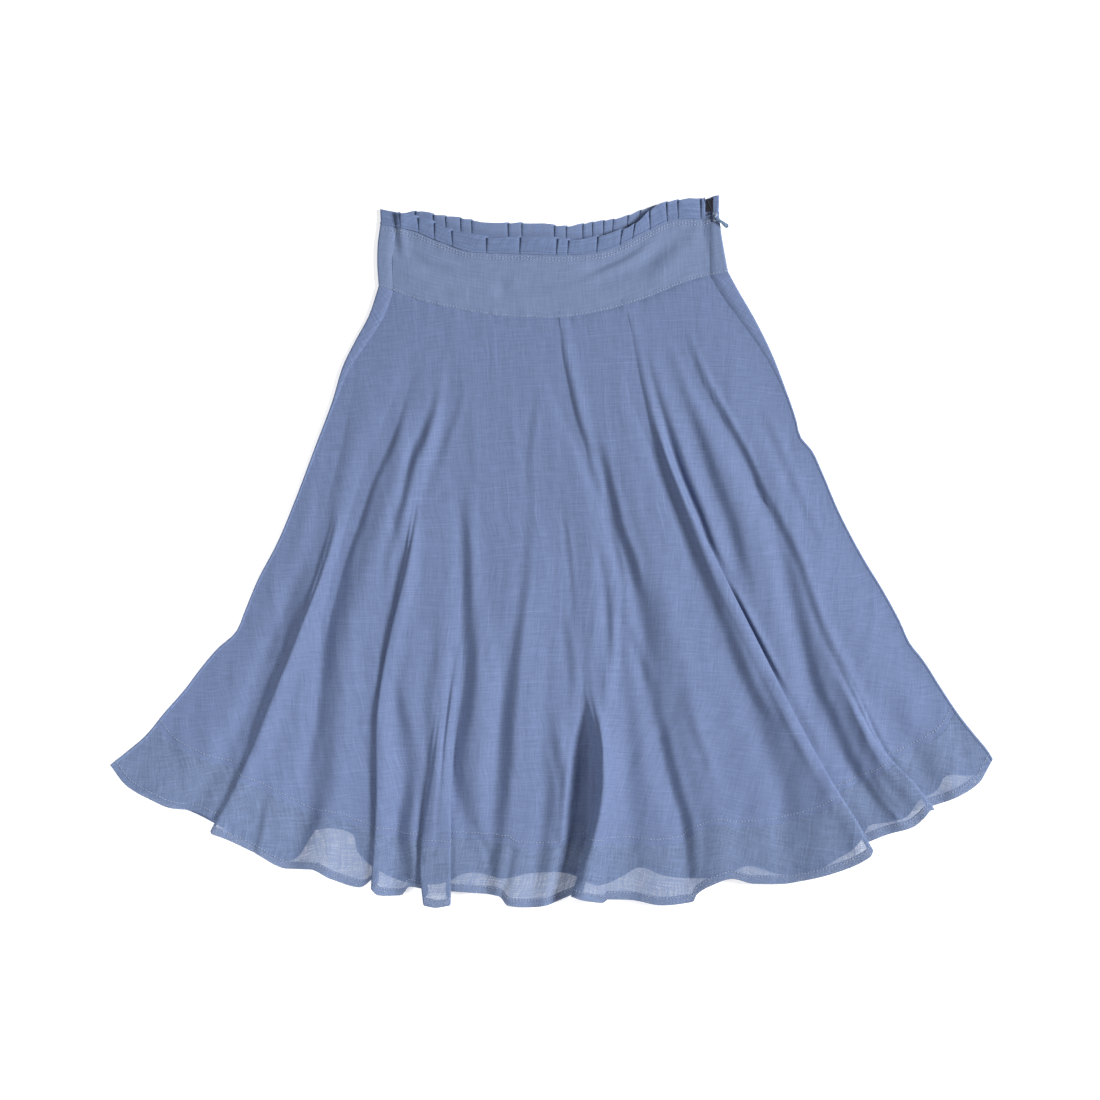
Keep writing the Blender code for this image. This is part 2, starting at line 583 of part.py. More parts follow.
def front_frill_points(rows):
    """Front frill, rows running from the waist seam at 0 to the top edge at 1."""
    rows = np.array(rows, float)
    down = 1 - rows
    patch = Patch(FRILL_LEFT, FRILL_RIGHT, FRONT_FRILL_TOP, FRONT_WAIST)
    width = patch.width(down)
    marks = pleat_marks(FRONT_PLEATS, 0.0, 1.0)
    begin = (LEFT_SEAM_TOP + SEAM_GAP / 2) / width
    end = 1 - FRONT_FRILL_END / width
    across = begin + (end - begin) * np.array([place for place, _ in marks])[:, None]
    saw = np.array([rise for _, rise in marks])[:, None]
    plan = patch.at(across, down[None, :])
    edge_distance = np.minimum(across, 1 - across) * width
    height = base_height(edge_distance, 0 * down)
    height = height + saw * FRONT_PLEAT_HEIGHT * (PLEAT_BASE_SHARE + (1 - PLEAT_BASE_SHARE) * rows)
    return np.dstack((plan, height))


def back_frill_points(rows):
    """Back frill, which wraps round both fold edges."""
    rows = np.array(rows, float)
    down = 1 - rows
    front = Patch(FRILL_LEFT, FRILL_RIGHT, FRONT_FRILL_TOP, FRONT_WAIST)
    back = Patch(FRILL_LEFT, FRILL_RIGHT, BACK_FRILL_TOP, BACK_WAIST)
    width = front.width(down)
    marks = pleat_marks(BACK_PLEATS, 0.0, 1.0)[1:-1]
    across, height, _ = wrapped_rings(len(marks), width, LEFT_SEAM_TOP - SEAM_GAP / 2, BACK_FRILL_END,
                                      0 * down)
    wrap = (len(across) - len(marks)) // 2
    begin, end = across[wrap - 1], across[-wrap]
    for i, (place, rise) in enumerate(marks):
        across[wrap + i] = begin + (end - begin) * place
        pleat = rise * BACK_PLEAT_HEIGHT * (PLEAT_BASE_SHARE + (1 - PLEAT_BASE_SHARE) * rows)
        inside = np.minimum(across[wrap + i], 1 - across[wrap + i]) * width
        height[wrap + i] += pleat * onset(inside, *PLEAT_MARGIN)
    inside = np.minimum(across, 1 - across)
    share = onset(inside, *FRILL_BLEND)[..., None]
    plan = front.at(across, down[None, :]) * (1 - share) + back.at(across, down[None, :]) * share
    return np.dstack((plan, height))


def to_metres(x, y, z):
    return Vector(((x - TABLE_CENTRE[0]) * MM, (TABLE_CENTRE[1] - y) * MM, z * MM))


def make_material(name, colour, roughness, metallic=0.0):
    material = bpy.data.materials.new(name)
    material.use_nodes = True
    shader = material.node_tree.nodes["Principled BSDF"]
    shader.inputs["Base Color"].default_value = (*colour, 1.0)
    shader.inputs["Roughness"].default_value = roughness
    shader.inputs["Metallic"].default_value = metallic
    return material


def add_mesh(name, mesh, material, collection):
    mesh.materials.append(material)
    mesh.shade_smooth()
    obj = bpy.data.objects.new(name, mesh)
    collection.objects.link(obj)
    return obj


def cloth(name, points, material, collection):
    """A cloth wall from the points of its middle surface, columns by rings."""
    columns, rings = points.shape[:2]
    corners = [to_metres(*points[i, j]) for i in range(columns) for j in range(rings)]
    faces = []
    for i in range(columns - 1):
        for j in range(rings - 1):
            first = i * rings + j
            faces.append((first, first + 1, first + rings + 1, first + rings))
    mesh = bpy.data.meshes.new(name)
    mesh.from_pydata(corners, [], faces)
    obj = add_mesh(name, mesh, material, collection)
    shell = obj.modifiers.new("Wall", "SOLIDIFY")
    shell.thickness = WALL * MM
    shell.offset = 0.0
    shell.use_quality_normals = True
    return obj


def seam_rows(rows, depth, first=True, last=True):
    """Shares of a piece's rings, drawn in from its seams by half the gap over its depth."""
    rows = list(rows)
    rows[0] += SEAM_GAP / 2 / depth if first else 0.0
    rows[-1] -= SEAM_GAP / 2 / depth if last else 0.0
    return rows


def bevelled_box(size, bevel):
    mesh = bmesh.new()
    bmesh.ops.create_cube(mesh, size=1.0, matrix=Matrix.Diagonal((*size, 1.0)))
    bmesh.ops.bevel(mesh, geom=mesh.edges[:], offset=bevel, segments=2, profile=0.5, affect="EDGES")
    return mesh


def finish_mesh(working, name):
    mesh = bpy.data.meshes.new(name)
    working.to_mesh(mesh)
    working.free()
    return mesh


def rod(length, radius, sides):
    """A closed cylinder along the local Y axis."""
    working = bmesh.new()
    bmesh.ops.create_cone(working, cap_ends=True, segments=sides, radius1=radius, radius2=radius, depth=length,
                          matrix=Matrix.Rotation(math.radians(90), 4, "X"))
    return working


def join_solid(target, working, name, place, cutters, operation="UNION"):
    """Join or cut a solid with another, which becomes a guide."""
    tool = bpy.data.objects.new(name, finish_mesh(working, name))
    tool.matrix_world = place
    cutters.objects.link(tool)
    tool.hide_render = True
    tool.display_type = "WIRE"
    step = target.modifiers.new(name, "BOOLEAN")
    step.operation = operation
    step.object = tool


def hinge_place():
    """Frame of the pull's hinge: X along the pull, Y along the bar."""
    top = WALL + FOLD_RISE + SLIDER_LIFT + SLIDER_SIZE[2]
    spot = to_metres(*SLIDER_CENTRE, top + HINGE_RISE)
    return Matrix.Translation(spot) @ Matrix.Rotation(math.radians(PULL_HEADING), 4, "Z")


def make_slider(material, collection, cutters):
    """Slider body with the arched bar that carries the pull."""
    body = bevelled_box(tuple(side * MM for side in SLIDER_SIZE), SLIDER_BEVEL * MM)
    slider = add_mesh("zip_slider", finish_mesh(body, "zip_slider"), material, collection)
    slider.location = to_metres(*SLIDER_CENTRE, WALL + FOLD_RISE + SLIDER_LIFT + SLIDER_SIZE[2] / 2)
    leg_height = HINGE_RISE + SLIDER_SIZE[2] / 2
    for i, side in enumerate((-1, 1)):
        leg = bevelled_box((LEG_WIDTH * MM, LEG_WIDTH * MM, (leg_height + BAR_RADIUS) * MM), LEG_BEVEL * MM)
        reach = Matrix.Translation((0, side * LEG_SPREAD * MM, -(leg_height - BAR_RADIUS) / 2 * MM))
        join_solid(slider, leg, f"slider_leg_{i}", hinge_place() @ reach, cutters)
    join_solid(slider, rod(2 * LEG_SPREAD * MM, BAR_RADIUS * MM, BAR_SIDES), "slider_bar", hinge_place(), cutters)


def make_pull(material, collection, cutters):
    """Teardrop pull whose end is curled round the slider's bar."""
    radius = PULL_WIDTH / 2
    centre = PULL_LENGTH - radius
    outline = [(NECK_START, -PULL_NECK / 2)]
    for i in range(PULL_SEGMENTS + 1):
        angle = math.radians(PULL_SWEEP * (2 * i / PULL_SEGMENTS - 1))
        outline.append((centre + radius * math.cos(angle), radius * math.sin(angle)))
    outline.append((NECK_START, PULL_NECK / 2))
    working = bmesh.new()
    corners = [working.verts.new((x * MM, y * MM, -KNUCKLE_RADIUS * MM)) for x, y in outline]
    face = working.faces.new(corners)
    lifted = bmesh.ops.extrude_face_region(working, geom=[face])
    raised = [item for item in lifted["geom"] if isinstance(item, bmesh.types.BMVert)]
    bmesh.ops.translate(working, verts=raised, vec=(0, 0, PULL_THICKNESS * MM))
    bmesh.ops.recalc_face_normals(working, faces=working.faces[:])
    working.transform(Matrix.Rotation(math.radians(PULL_DROOP), 4, "Y"))
    pull = add_mesh("zip_pull", finish_mesh(working, "zip_pull"), material, collection)
    pull.matrix_world = hinge_place()
    knuckle = rod(KNUCKLE_LENGTH * MM, KNUCKLE_RADIUS * MM, KNUCKLE_SIDES)
    join_solid(pull, knuckle, "pull_knuckle", hinge_place(), cutters)
    bore = rod(2 * KNUCKLE_LENGTH * MM, KNUCKLE_BORE * MM, KNUCKLE_SIDES)
    join_solid(pull, bore, "pull_bore", hinge_place(), cutters, "DIFFERENCE")


def make_tape(material, collection):
    """Dark zip tape in the opening between the frills."""
    body = bevelled_box(tuple(side * MM for side in TAPE_SIZE), TAPE_BEVEL * MM)
    tape = add_mesh("zip_tape", finish_mesh(body, "zip_tape"), material, collection)
    tape.location = to_metres(*TAPE_CENTRE, WALL / 2 + FOLD_RISE)


def make_collection(name):
    collection = bpy.data.collections.new(name)
    bpy.context.scene.collection.children.link(collection)
    return collection


def main():
    for obj in list(bpy.data.objects):
        bpy.data.objects.remove(obj, do_unlink=True)
    skirt = make_collection(NAME)
    cutters = make_collection("cutters")

    blue = (0.20, 0.26, 0.45)
    panel_cloth = make_material("panel_voile", blue, 0.85)
    flounce_cloth = make_material("flounce_voile", (0.18, 0.24, 0.43), 0.85)
    yoke_cloth = make_material("yoke_voile", (0.21, 0.27, 0.46), 0.85)
    frill_cloth = make_material("frill_voile", (0.17, 0.23, 0.40), 0.85)
    tape_cloth = make_material("navy_tape", (0.01, 0.012, 0.02), 0.7)
    slider_metal = make_material("blue_painted_slider", (0.30, 0.38, 0.55), 0.35, 0.4)
    pull_metal = make_material("blue_painted_pull", (0.33, 0.42, 0.60), 0.3, 0.4)

    skirt_rows = seam_rows(SKIRT_ROWS + (FLOUNCE_SHARE,), SKIRT_DEPTH)
    flounce_rows = seam_rows((FLOUNCE_SHARE,) + FLOUNCE_ROWS, SKIRT_DEPTH, last=False)
    yoke_rows = seam_rows(YOKE_ROWS + (1.0,), YOKE_DEPTH)
    frill_rows = seam_rows(FRILL_ROWS, FRILL_DEPTH, last=False)

    front = FrontSkirt()
    cloth("front_skirt", front.points(skirt_rows, -1), panel_cloth, skirt)
    cloth("front_flounce", front.points(flounce_rows, 0), flounce_cloth, skirt)
    cloth("back_skirt", back_skirt_points(front, skirt_rows), panel_cloth, skirt)
    cloth("back_flounce", back_skirt_points(front, flounce_rows), flounce_cloth, skirt)
    cloth("front_yoke", front_yoke_points(yoke_rows), yoke_cloth, skirt)
    cloth("back_yoke", back_yoke_points(yoke_rows), yoke_cloth, skirt)
    cloth("front_frill", front_frill_points(frill_rows), frill_cloth, skirt)
    cloth("back_frill", back_frill_points(frill_rows), frill_cloth, skirt)
    make_tape(tape_cloth, skirt)
    make_slider(slider_metal, skirt, cutters)
    make_pull(pull_metal, skirt, cutters)


main()
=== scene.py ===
"""The looks of a blue voile circle skirt that lies flat, front side up.

Places on the cloth are millimetres on the laying table, as in the skirt's construction: x runs right and y
runs down from the table's far left corner, and heights are above the table. Each piece is a grid of points,
columns across it by rings down it, that becomes a closed thin shell of cloth.
"""
import math
from collections import namedtuple

import bmesh
import bpy
import numpy as np
from mathutils import Matrix, Vector


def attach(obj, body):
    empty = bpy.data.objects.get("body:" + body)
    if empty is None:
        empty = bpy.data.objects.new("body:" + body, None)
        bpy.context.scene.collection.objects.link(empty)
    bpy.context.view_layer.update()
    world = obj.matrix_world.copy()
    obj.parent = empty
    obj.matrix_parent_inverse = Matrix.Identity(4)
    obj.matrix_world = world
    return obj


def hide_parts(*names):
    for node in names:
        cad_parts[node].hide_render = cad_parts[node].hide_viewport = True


bl_info = {
    "name": "Voile circle skirt",
    "version": (1, 0, 0),
    "blender": (4, 5, 0),
    "location": "3D View > Sidebar > Skirt",
    "description": "Dresses the laid-out circle skirt with its cloth, seams, stitching and zip",
    "category": "Object",
}

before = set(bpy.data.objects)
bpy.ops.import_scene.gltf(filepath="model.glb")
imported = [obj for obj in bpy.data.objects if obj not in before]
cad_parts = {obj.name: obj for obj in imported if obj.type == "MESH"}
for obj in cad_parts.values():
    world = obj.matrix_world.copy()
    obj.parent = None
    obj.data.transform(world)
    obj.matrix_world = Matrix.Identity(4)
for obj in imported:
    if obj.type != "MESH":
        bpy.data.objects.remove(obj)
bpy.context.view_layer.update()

MM = 0.001
TABLE_CENTRE = (551.58, 550.46)
GARMENT, PULL_TAB = "garment", "pull_tab"

# Construction of the cloth, which the solids follow too
WALL = 1.1
SKIRT_DEPTH, YOKE_DEPTH = 560.0, 60.0
# Room under the back's cloth for its turned hem and its stitches
UNDERSIDE_ROOM = 0.45
FRILL_STEP = 1.5
FRILL_WAVE = 0.9
FOLD_RISE = 3.2
YOKE_HEIGHT = 4.7
SWEEP_HEIGHT = 11.0
LOW_HEIGHT = 4.6
EDGE_REACH = 60.0
SWELL_FULL = 0.55
FLOUNCE_SHARE = 0.89
HEM_SHAPING = 0.74
BACK_BLEND = (0.008, 0.05)
CHANNEL_MARGIN = (20.0, 60.0)

# The outline of the laid-out skirt, x and y
LEFT_EDGE = ((378, 286), (368, 316), (355, 340), (343, 364), (332, 400), (314, 448), (296, 496), (276, 544),
             (257, 580), (245, 609), (235, 632), (218, 647), (200, 668), (185, 688), (164, 712), (144, 736),
             (125, 752), (110, 764))
RIGHT_EDGE = ((729, 272), (740, 292), (754, 316), (772, 352), (786, 388), (797, 420), (801, 436), (812, 449),
              (822, 470), (838, 508), (863, 556), (886, 594), (901, 622), (910, 642), (922, 657), (942, 688),
              (958, 712), (977, 736), (987, 748), (993, 757.6))
YOKE_SEAM = ((378, 286), (400, 294), (423, 302), (455, 309), (496, 316), (530, 318), (560, 318), (600, 312),
             (650, 297), (690, 281), (729, 272))
HEM_SWEEP = ((110, 764), (127, 785), (152, 799), (193, 815), (254, 850), (311, 871), (361, 885), (420, 893),
             (480, 898), (545, 900), (604, 899), (662, 899), (720, 889), (781, 882), (839, 869), (872, 850),
             (912, 826), (950, 800), (978, 782), (993, 757.6))
BACK_HEM = ((110, 764), (127, 785), (152, 797), (193, 812), (255, 846), (288, 861), (299, 856), (303, 836),
            (320, 829), (340, 829), (354, 835), (357, 850), (366, 861), (382, 872), (420, 884), (446, 882),
            (465, 873), (487, 874), (499, 878), (530, 873), (568, 873), (600, 885), (622, 876), (638, 867),
            (663, 875), (695, 878), (727, 875), (745, 866), (781, 874), (820, 869), (838, 858), (852, 850),
            (862, 838), (868, 826), (887, 822), (906, 817), (920, 799), (937, 790), (944, 777), (962, 771),
            (978, 761), (993, 757.6))

# The front hem between the deep folds, one row of x and y points for each stretch
HEM_STRETCHES = (
    ((110, 764), (127, 785), (152, 799), (171, 807), (193, 810), (216, 819.5)),
    ((209, 831), (225, 837), (254, 851), (289, 868), (311, 868), (332, 877.5), (361, 886), (373, 877.5)),
    ((372, 888), (379, 893.6), (392, 895), (401, 894.5), (410, 885.5), (425, 888)),
    ((425, 904), (436, 906), (449, 904)),
    ((451, 890), (476, 892), (499, 895), (508, 904), (529, 906), (545, 904.6), (565, 897), (572, 893)),
    ((572, 894.5), (583, 898), (604, 901.6), (606, 898), (631, 899), (662, 904), (693, 901), (695, 895),
     (710, 884.6), (731, 877.5), (753, 882.5), (781, 883), (801, 880), (839, 870), (869, 855), (872, 850)),
    ((867, 841), (888, 833), (912, 826), (922.5, 817), (929, 809)),
    ((928.6, 806), (950, 799), (978, 782.5), (988, 767), (993, 757.6)),
)

# Deep folds of the front, where one side of the cloth lies over the other. Each starts and is full at a
# share of the way down, and its path is the visible edge.
Fold = namedtuple("Fold", "name side overlap spacing crest start full path")
DEEP_FOLDS = (
    Fold("left_fold", "right", 7.0, 2.8, 15.0, 0.36, 0.80,
     ((352, 330), (345, 400), (332, 522), (294, 640), (248, 756), (212, 826))),
    Fold("left_centre_fold", "right", 6.5, 2.8, 15.0, 0.28, 0.62,
     ((452, 320), (432, 410), (420, 470), (405, 560), (389, 640), (378, 711), (377, 800), (372, 886))),
    Fold("pleat_left", "right", 4.0, 2.6, 10.0, 0.62, 0.95,
     ((474, 330), (468, 500), (448, 640), (432, 760), (421, 860), (425, 904))),
    Fold("pleat_right", "left", 4.0, 2.6, 10.0, 0.52, 0.90,
     ((494, 330), (486, 500), (466, 640), (453, 760), (451, 840), (451, 904))),
    Fold("tunnel", "right", 10.0, 6.0, 17.0, 0.60, 0.86,
     ((556, 330), (572, 500), (585, 690), (597, 756), (592, 818), (586, 850), (573, 893))),
    Fold("right_fold", "left", 8.0, 3.0, 17.0, 0.18, 0.45,
     ((640, 330), (662, 424), (689, 501), (724, 577), (756, 640), (792, 711), (828, 776), (859, 826),
      (871, 849))),
    Fold("far_right_fold", "left", 7.0, 2.8, 14.0, 0.68, 0.95,
     ((706, 330), (750, 450), (800, 570), (829, 643), (852, 690), (890, 760), (912, 786), (929, 807))),
)
STRETCH_POINTS = (7, 11, 5, 1, 9, 18, 5, 7)
STRETCH_LIFTS = (0.0, 0.0, 0.0, 5.0, 0.0, 0.0, 0.0, 0.0)
# A fold rises over the first share of its start, and turns under itself after the second
RISE_SHARE, TURN_START = 0.5, 0.25
# Reach of a fold on its lower side, the room kept between folds, and the corner and run-out of its turns
APPROACH, FOLD_ROOM = 10.0, 1.5
TURN_CORNER, TURN_RUN = 0.4, 3.2
# How far past the hidden turn the crest is held up, and is at least half way down
CREST_HOLD, CREST_CLEARANCE, CREST_DIP = 2.0, 5.0, 0.08
STRETCH_ONSET = (0.62, 0.92)
CREASE_ONSET = 0.14
# A crease's path is the line of its shade, which lies this share of its half width right of its middle
SHADE_SHIFT = 0.7

# Soft ridges and troughs: rises near the start, half way and at the hem (under 0 in a trough), half widths
# at the start and at the hem, share of the way down where it starts, and the path of its shade
Crease = namedtuple("Crease", "name rises widths start path")
FRONT_CREASES = (
    Crease("left_trough", (-2.5, -7.0, -6.0), (12, 16), 0.05,
     ((409, 396), (375, 482), (342, 587), (334, 640), (330, 711), (321, 783), (300, 861))),
    Crease("left_edge_trough", (-2.0, -5.0, -3.0), (10, 12), 0.12,
     ((350, 400), (338, 480), (322, 540), (282, 640), (236, 756), (200, 815))),
    Crease("left_ridge", (1.0, 5.0, 6.0), (12, 18), 0.25,
     ((400, 400), (362, 590), (352, 700), (345, 800), (335, 870))),
    Crease("left_centre_trough", (-2.0, -5.0, -6.0), (9, 12), 0.45,
     ((405, 640), (399, 693), (412, 783), (406, 815), (402, 890))),
    Crease("centre_trough", (-1.5, -5.5, -4.0), (10, 12), 0.30,
     ((463, 400), (465, 500), (468, 573), (471, 650), (467, 713), (459, 767), (474, 824), (486, 872))),
    Crease("centre_ridge", (1.0, 4.0, 2.0), (10, 14), 0.35,
     ((506, 500), (488, 693), (483, 800), (490, 890))),
    Crease("centre_dip", (-1.5, -4.5, -4.0), (9, 12), 0.42,
     ((532, 520), (524, 590), (516, 660), (510, 715), (507, 767), (499, 825), (497, 890))),
    Crease("middle_ridge", (1.5, 5.0, 5.0), (16, 22), 0.30,
     ((535, 480), (530, 700), (526, 800), (528, 900))),
    Crease("middle_dip", (-1.0, -3.5, -4.0), (8, 10), 0.60,
     ((572, 650), (561, 747), (552, 800), (542, 870), (538, 900))),
    Crease("tunnel_left_ridge", (1.5, 7.0, 3.0), (10, 13), 0.50,
     ((573, 600), (568, 740), (565, 800), (556, 895))),
    Crease("tunnel_trough", (-2.0, -12.0, -11.0), (8, 11), 0.50,
     ((590, 640), (586, 760), (581, 840), (568, 893))),
    Crease("tunnel_crest", (1.5, 5.0, 2.0), (13, 16), 0.42,
     ((610, 590), (612, 700), (614, 780), (598, 900))),
    Crease("right_middle_dip", (-2.0, -4.5, -3.0), (9, 13), 0.35,
     ((604, 500), (626, 640), (636, 740), (640, 890))),
    Crease("long_trough", (-2.0, -6.0, -3.5), (9, 13), 0.02,
     ((559, 325), (561, 376), (578, 424), (603, 463), (611, 491), (620, 539), (641, 592), (655, 694),
      (671, 765), (690, 830), (696, 895))),
    Crease("right_ridge", (1.5, 5.0, 3.5), (12, 20), 0.15,
     ((600, 400), (652, 520), (676, 600), (710, 740), (735, 880))),
    Crease("right_trough", (-2.0, -5.5, -3.0), (10, 15), 0.02,
     ((630, 323), (638, 370), (655, 437), (682, 507), (703, 570), (731, 643), (757, 700), (782, 760),
      (800, 880))),
    Crease("right_fold_crest", (1.5, 4.5, 3.0), (12, 18), 0.15,
     ((650, 440), (700, 560), (760, 680), (820, 790), (846, 860))),
    Crease("far_right_trough", (-2.5, -6.0, -3.5), (10, 13), 0.03,
     ((688, 346), (714, 398), (747, 457), (779, 522), (796, 590), (808, 652), (822, 700), (847, 752),
      (890, 820))),
    Crease("far_right_ridge", (1.0, 4.0, 4.0), (12, 16), 0.30,
     ((770, 480), (815, 590), (840, 655), (875, 745), (905, 820))),
    Crease("right_corner_trough", (-0.5, -2.5, -4.0), (12, 14), 0.62,
     ((858, 600), (895, 700), (928, 760), (948, 800))),
)
# Low channels of the back panel, which lies on the table
BACK_CREASES = (
    Crease("back_left", (0.8, 2.0, 2.2), (10, 15), 0.12, ((430, 360), (390, 500), (330, 700), (270, 850))),
    Crease("back_left_centre", (0.6, 1.8, 2.2), (9, 14), 0.20,
           ((480, 360), (460, 560), (430, 720), (410, 880))),
    Crease("back_centre", (0.8, 2.0, 2.2), (9, 14), 0.10, ((545, 340), (530, 560), (510, 720), (498, 880))),
    Crease("back_right_centre", (0.8, 2.2, 2.2), (9, 14), 0.25,
           ((600, 400), (612, 560), (628, 720), (640, 870))),
    Crease("back_right", (0.8, 2.0, 2.2), (10, 14), 0.10, ((640, 350), (690, 520), (740, 700), (790, 870))),
    Crease("back_far_right", (0.6, 1.8, 2.0), (10, 15), 0.25,
           ((700, 380), (770, 540), (850, 700), (890, 820))),
)

# Yoke, from the waist seam to the yoke seam
YOKE_LEFT = ((380, 222), (377, 244), (376.5, 262), (378, 286))
YOKE_RIGHT = ((719.5, 212), (722, 232), (726, 256), (729, 272))
FRONT_WAIST = ((380, 222), (400, 226), (417, 230), (431, 236), (452, 244), (466, 249), (487, 251),
               (522, 252), (568, 253), (596, 251), (612, 247.5), (626, 241), (641, 233.5), (655, 226),
               (669, 219.5), (681, 217), (706, 216.5), (719.5, 212))
BACK_WAIST = ((380, 222), (400, 225), (438, 229), (472, 236), (515, 239), (555, 241), (595, 239), (635, 226),
              (668, 218), (700, 216), (719.5, 212))
Trough = namedtuple("Trough", "name depth half_width path")
YOKE_TROUGHS = (
    Trough("band_trough", -2.0, 9.0,
           ((505, 290), (550, 287), (600, 281), (645, 262), (680, 238), (694, 224))),
    Trough("left_band_trough", -1.2, 8.0, ((405, 256), (430, 268), (465, 279), (500, 284))),
)

RELIEF_MARGIN = (18.0, 48.0)
RELIEF_SEAM_FADE = 0.125

# Frills, from the waist seam to the top edge
FRILL_LEFT = ((379.5, 208), (380, 222))
FRILL_RIGHT = ((720, 195), (719.5, 212))
FRONT_FRILL_TOP = ((379.5, 208), (400, 213), (421, 218), (435, 223), (449, 230), (466, 233), (486, 237),
                   (522, 237), (556, 238), (570, 240), (596, 237), (612, 233), (628, 228), (640, 221),
                   (650, 211), (658, 205), (672, 201), (689, 199), (700, 199.5), (708, 198.5), (720, 195))
BACK_FRILL_TOP = ((379.5, 208), (400, 211.5), (424, 211), (438, 215), (451, 217), (466, 219), (501, 222.6),
                  (539, 224), (575, 225), (595, 222), (627, 216), (645, 209), (659, 205), (675, 203),
                  (700, 203), (712, 198), (720, 195))
# Edges of the knife pleats, by their x on the table
FRONT_PLEATS = (400.5, 419, 435, 452.7, 487.3, 520.6, 557.5, 568.5, 597.7, 621.5, 634, 650, 667, 678, 701)
BACK_PLEATS = (416, 433.8, 446, 461, 472, 508.6, 522, 554.8, 566.3, 583, 592.5, 603.6, 613, 627.7, 640, 660,
               680, 700)
FRONT_PLEAT_HEIGHT = 2.7
BACK_PLEAT_HEIGHT = 2.0
PLEAT_BASE_SHARE = 0.3
# A pleat turns over its left edge, by distance and share of height, then falls away to the next by share.
# Its turn takes at most a share of its width, and the back's end pleats reach into the seams by shares.
PLEAT_TURN_MOST, BACK_PLEAT_ENDS = 0.3, (0.4, 0.5)
PLEAT_TURN = ((1.8, 0.02), (2.8, 0.16), (1.5, 0.36), (0.4, 0.58), (0.0, 0.8), (0.3, 0.95), (1.3, 1.0))
PLEAT_FACE = ((0.3, 0.9), (0.5, 0.84), (0.7, 0.78), (0.86, 0.68), (0.95, 0.45), (1.0, 0.1))
PLEAT_MARGIN = (4.0, 18.0)
YOKE_BLEND = (0.07, 0.17)
FRILL_BLEND = (0.05, 0.10)

# Side seams: distance in from each fold edge
LEFT_SEAM_TOP, RIGHT_SEAM_WAIST, RIGHT_SEAM_TOP, SEAM_HEM = 17.0, 10.0, 19.5, 4.0
# Shares of the way down between which the side seams run out to the fold edges
SEAM_RUN_OUT = (0.0, 0.26)
FRONT_FRILL_END = 15.5
BACK_FRILL_END = 7.0

# Zip, on the same places as its solids
SLIDER_CENTRE = (714.6, 217.5)
SLIDER_SIZE = (5.2, 9.4, 1.9)
SLIDER_LIFT = 0.3
HINGE_RISE = 2.2
BAR_RADIUS = 0.45
LEG_SPREAD = 2.1
PULL_HEADING = -38.0
PULL_DROOP = 5.0
PULL_LENGTH = 17.0
PULL_WIDTH = 4.6
KNUCKLE_RADIUS = 1.35
ZIP_LINES = (((706.9, 199.6), (709.4, 206.0), (712.6, 213.4)),
             ((713.0, 199.0), (712.8, 206.0), (713.8, 213.4)))
# Height of the teeth above the front's cloth, points read on each line, and pitch, length and width of one
TEETH_LIFT, TEETH_READS, TOOTH = 1.0, 12, (0.0009, 0.0006, 0.0012)
# Colours of the zip, and of the slider and the pull where they are worn
# The tape is navy, and its near-black darkness is also painted shade of the shadowed gap between the frills
TAPE_NAVY_AND_GAP_SHADE, COIL_NAVY = (0.004, 0.006, 0.016), (0.03, 0.04, 0.08)
SLIDER_BLUE, SLIDER_WORN = (0.16, 0.21, 0.32), (0.34, 0.38, 0.46)
PULL_BLUE, PULL_WORN = (0.10, 0.16, 0.27), (0.26, 0.36, 0.50)
# Slider: thickness of its lower and upper plates, and how far its core reaches into each
LOWER_PLATE, UPPER_PLATE, CORE_INSET = 0.55, 0.6, 0.3
# Pull: thickness of its plate, its rounded edge, its rim's and eye's wire, and the places of the eye's rings
PULL_PLATE, PULL_BEVEL, RIM_RADIUS, EYE_RADIUS = 1.0, 0.22, 0.16, 0.33
EYE_PLACES = (-0.75, -0.25, 0.25, 0.75)
# Half the arc of the plate's round end in degrees, and the points on it and on a full ring
PLATE_ARC, PLATE_POINTS, RING_POINTS = 100, 17, 25

# Uneven soft wrinkles: height, width across and length down of one swell
WRINKLES = ((0.75, 17.0, 120.0), (0.42, 8.0, 60.0), (0.16, 4.0, 34.0))
YOKE_WRINKLES = ((0.25, 24.0, 16.0), (0.14, 9.0, 11.0))
# Rise of the front's left edge beside the waist, where it is, and how far it runs on
STEP_RISE, STEP_PLACE, STEP_RUN = 1.3, 398.0, 9.0
# Puckers along a sewn seam: height, width of one, and how far they run from the seam
SEAM_PUCKER = (0.42, 5.5, 8.0)

# Steps between two points of a flank's path, and half widths from it that it reaches
FLANK_STEPS, FLANK_REACH = 4, 3.5
# How deep all the shaded folds are, beside their own rises
FLANK_DEPTH = 1.0
# How deep the main creases of the shown cloth are, beside the solids' own
CREASE_DEPTH = 0.82
# Small creases that only the cloth shows: rise, half width and path
Small = namedtuple("Small", "rises half_width path")
SMALL_CREASES = (
    Small((-1.1,), 4.0, ((413, 443), (408, 470), (402, 505))),
    Small((-1.8,), 5.0, ((600, 560), (606, 600), (612, 683), (604, 765))),
    Small((-1.4,), 4.0, ((867, 772), (880, 792), (900, 815))),
    Small((-1.8,), 3.0, ((512, 846), (508, 874), (500, 903))),
    Small((1.2,), 3.5, ((503, 846), (498, 874), (494, 903))),
    Small((-1.2,), 3.5, ((552, 832), (560, 846), (572, 858))),
    Small((-2.0, -7.0, -8.0, -5.0), 6.0, ((588, 735), (584, 780), (581, 825), (574, 875))),
    Small((-1.2,), 4.0, ((474, 826), (486, 848), (492, 868))),
)
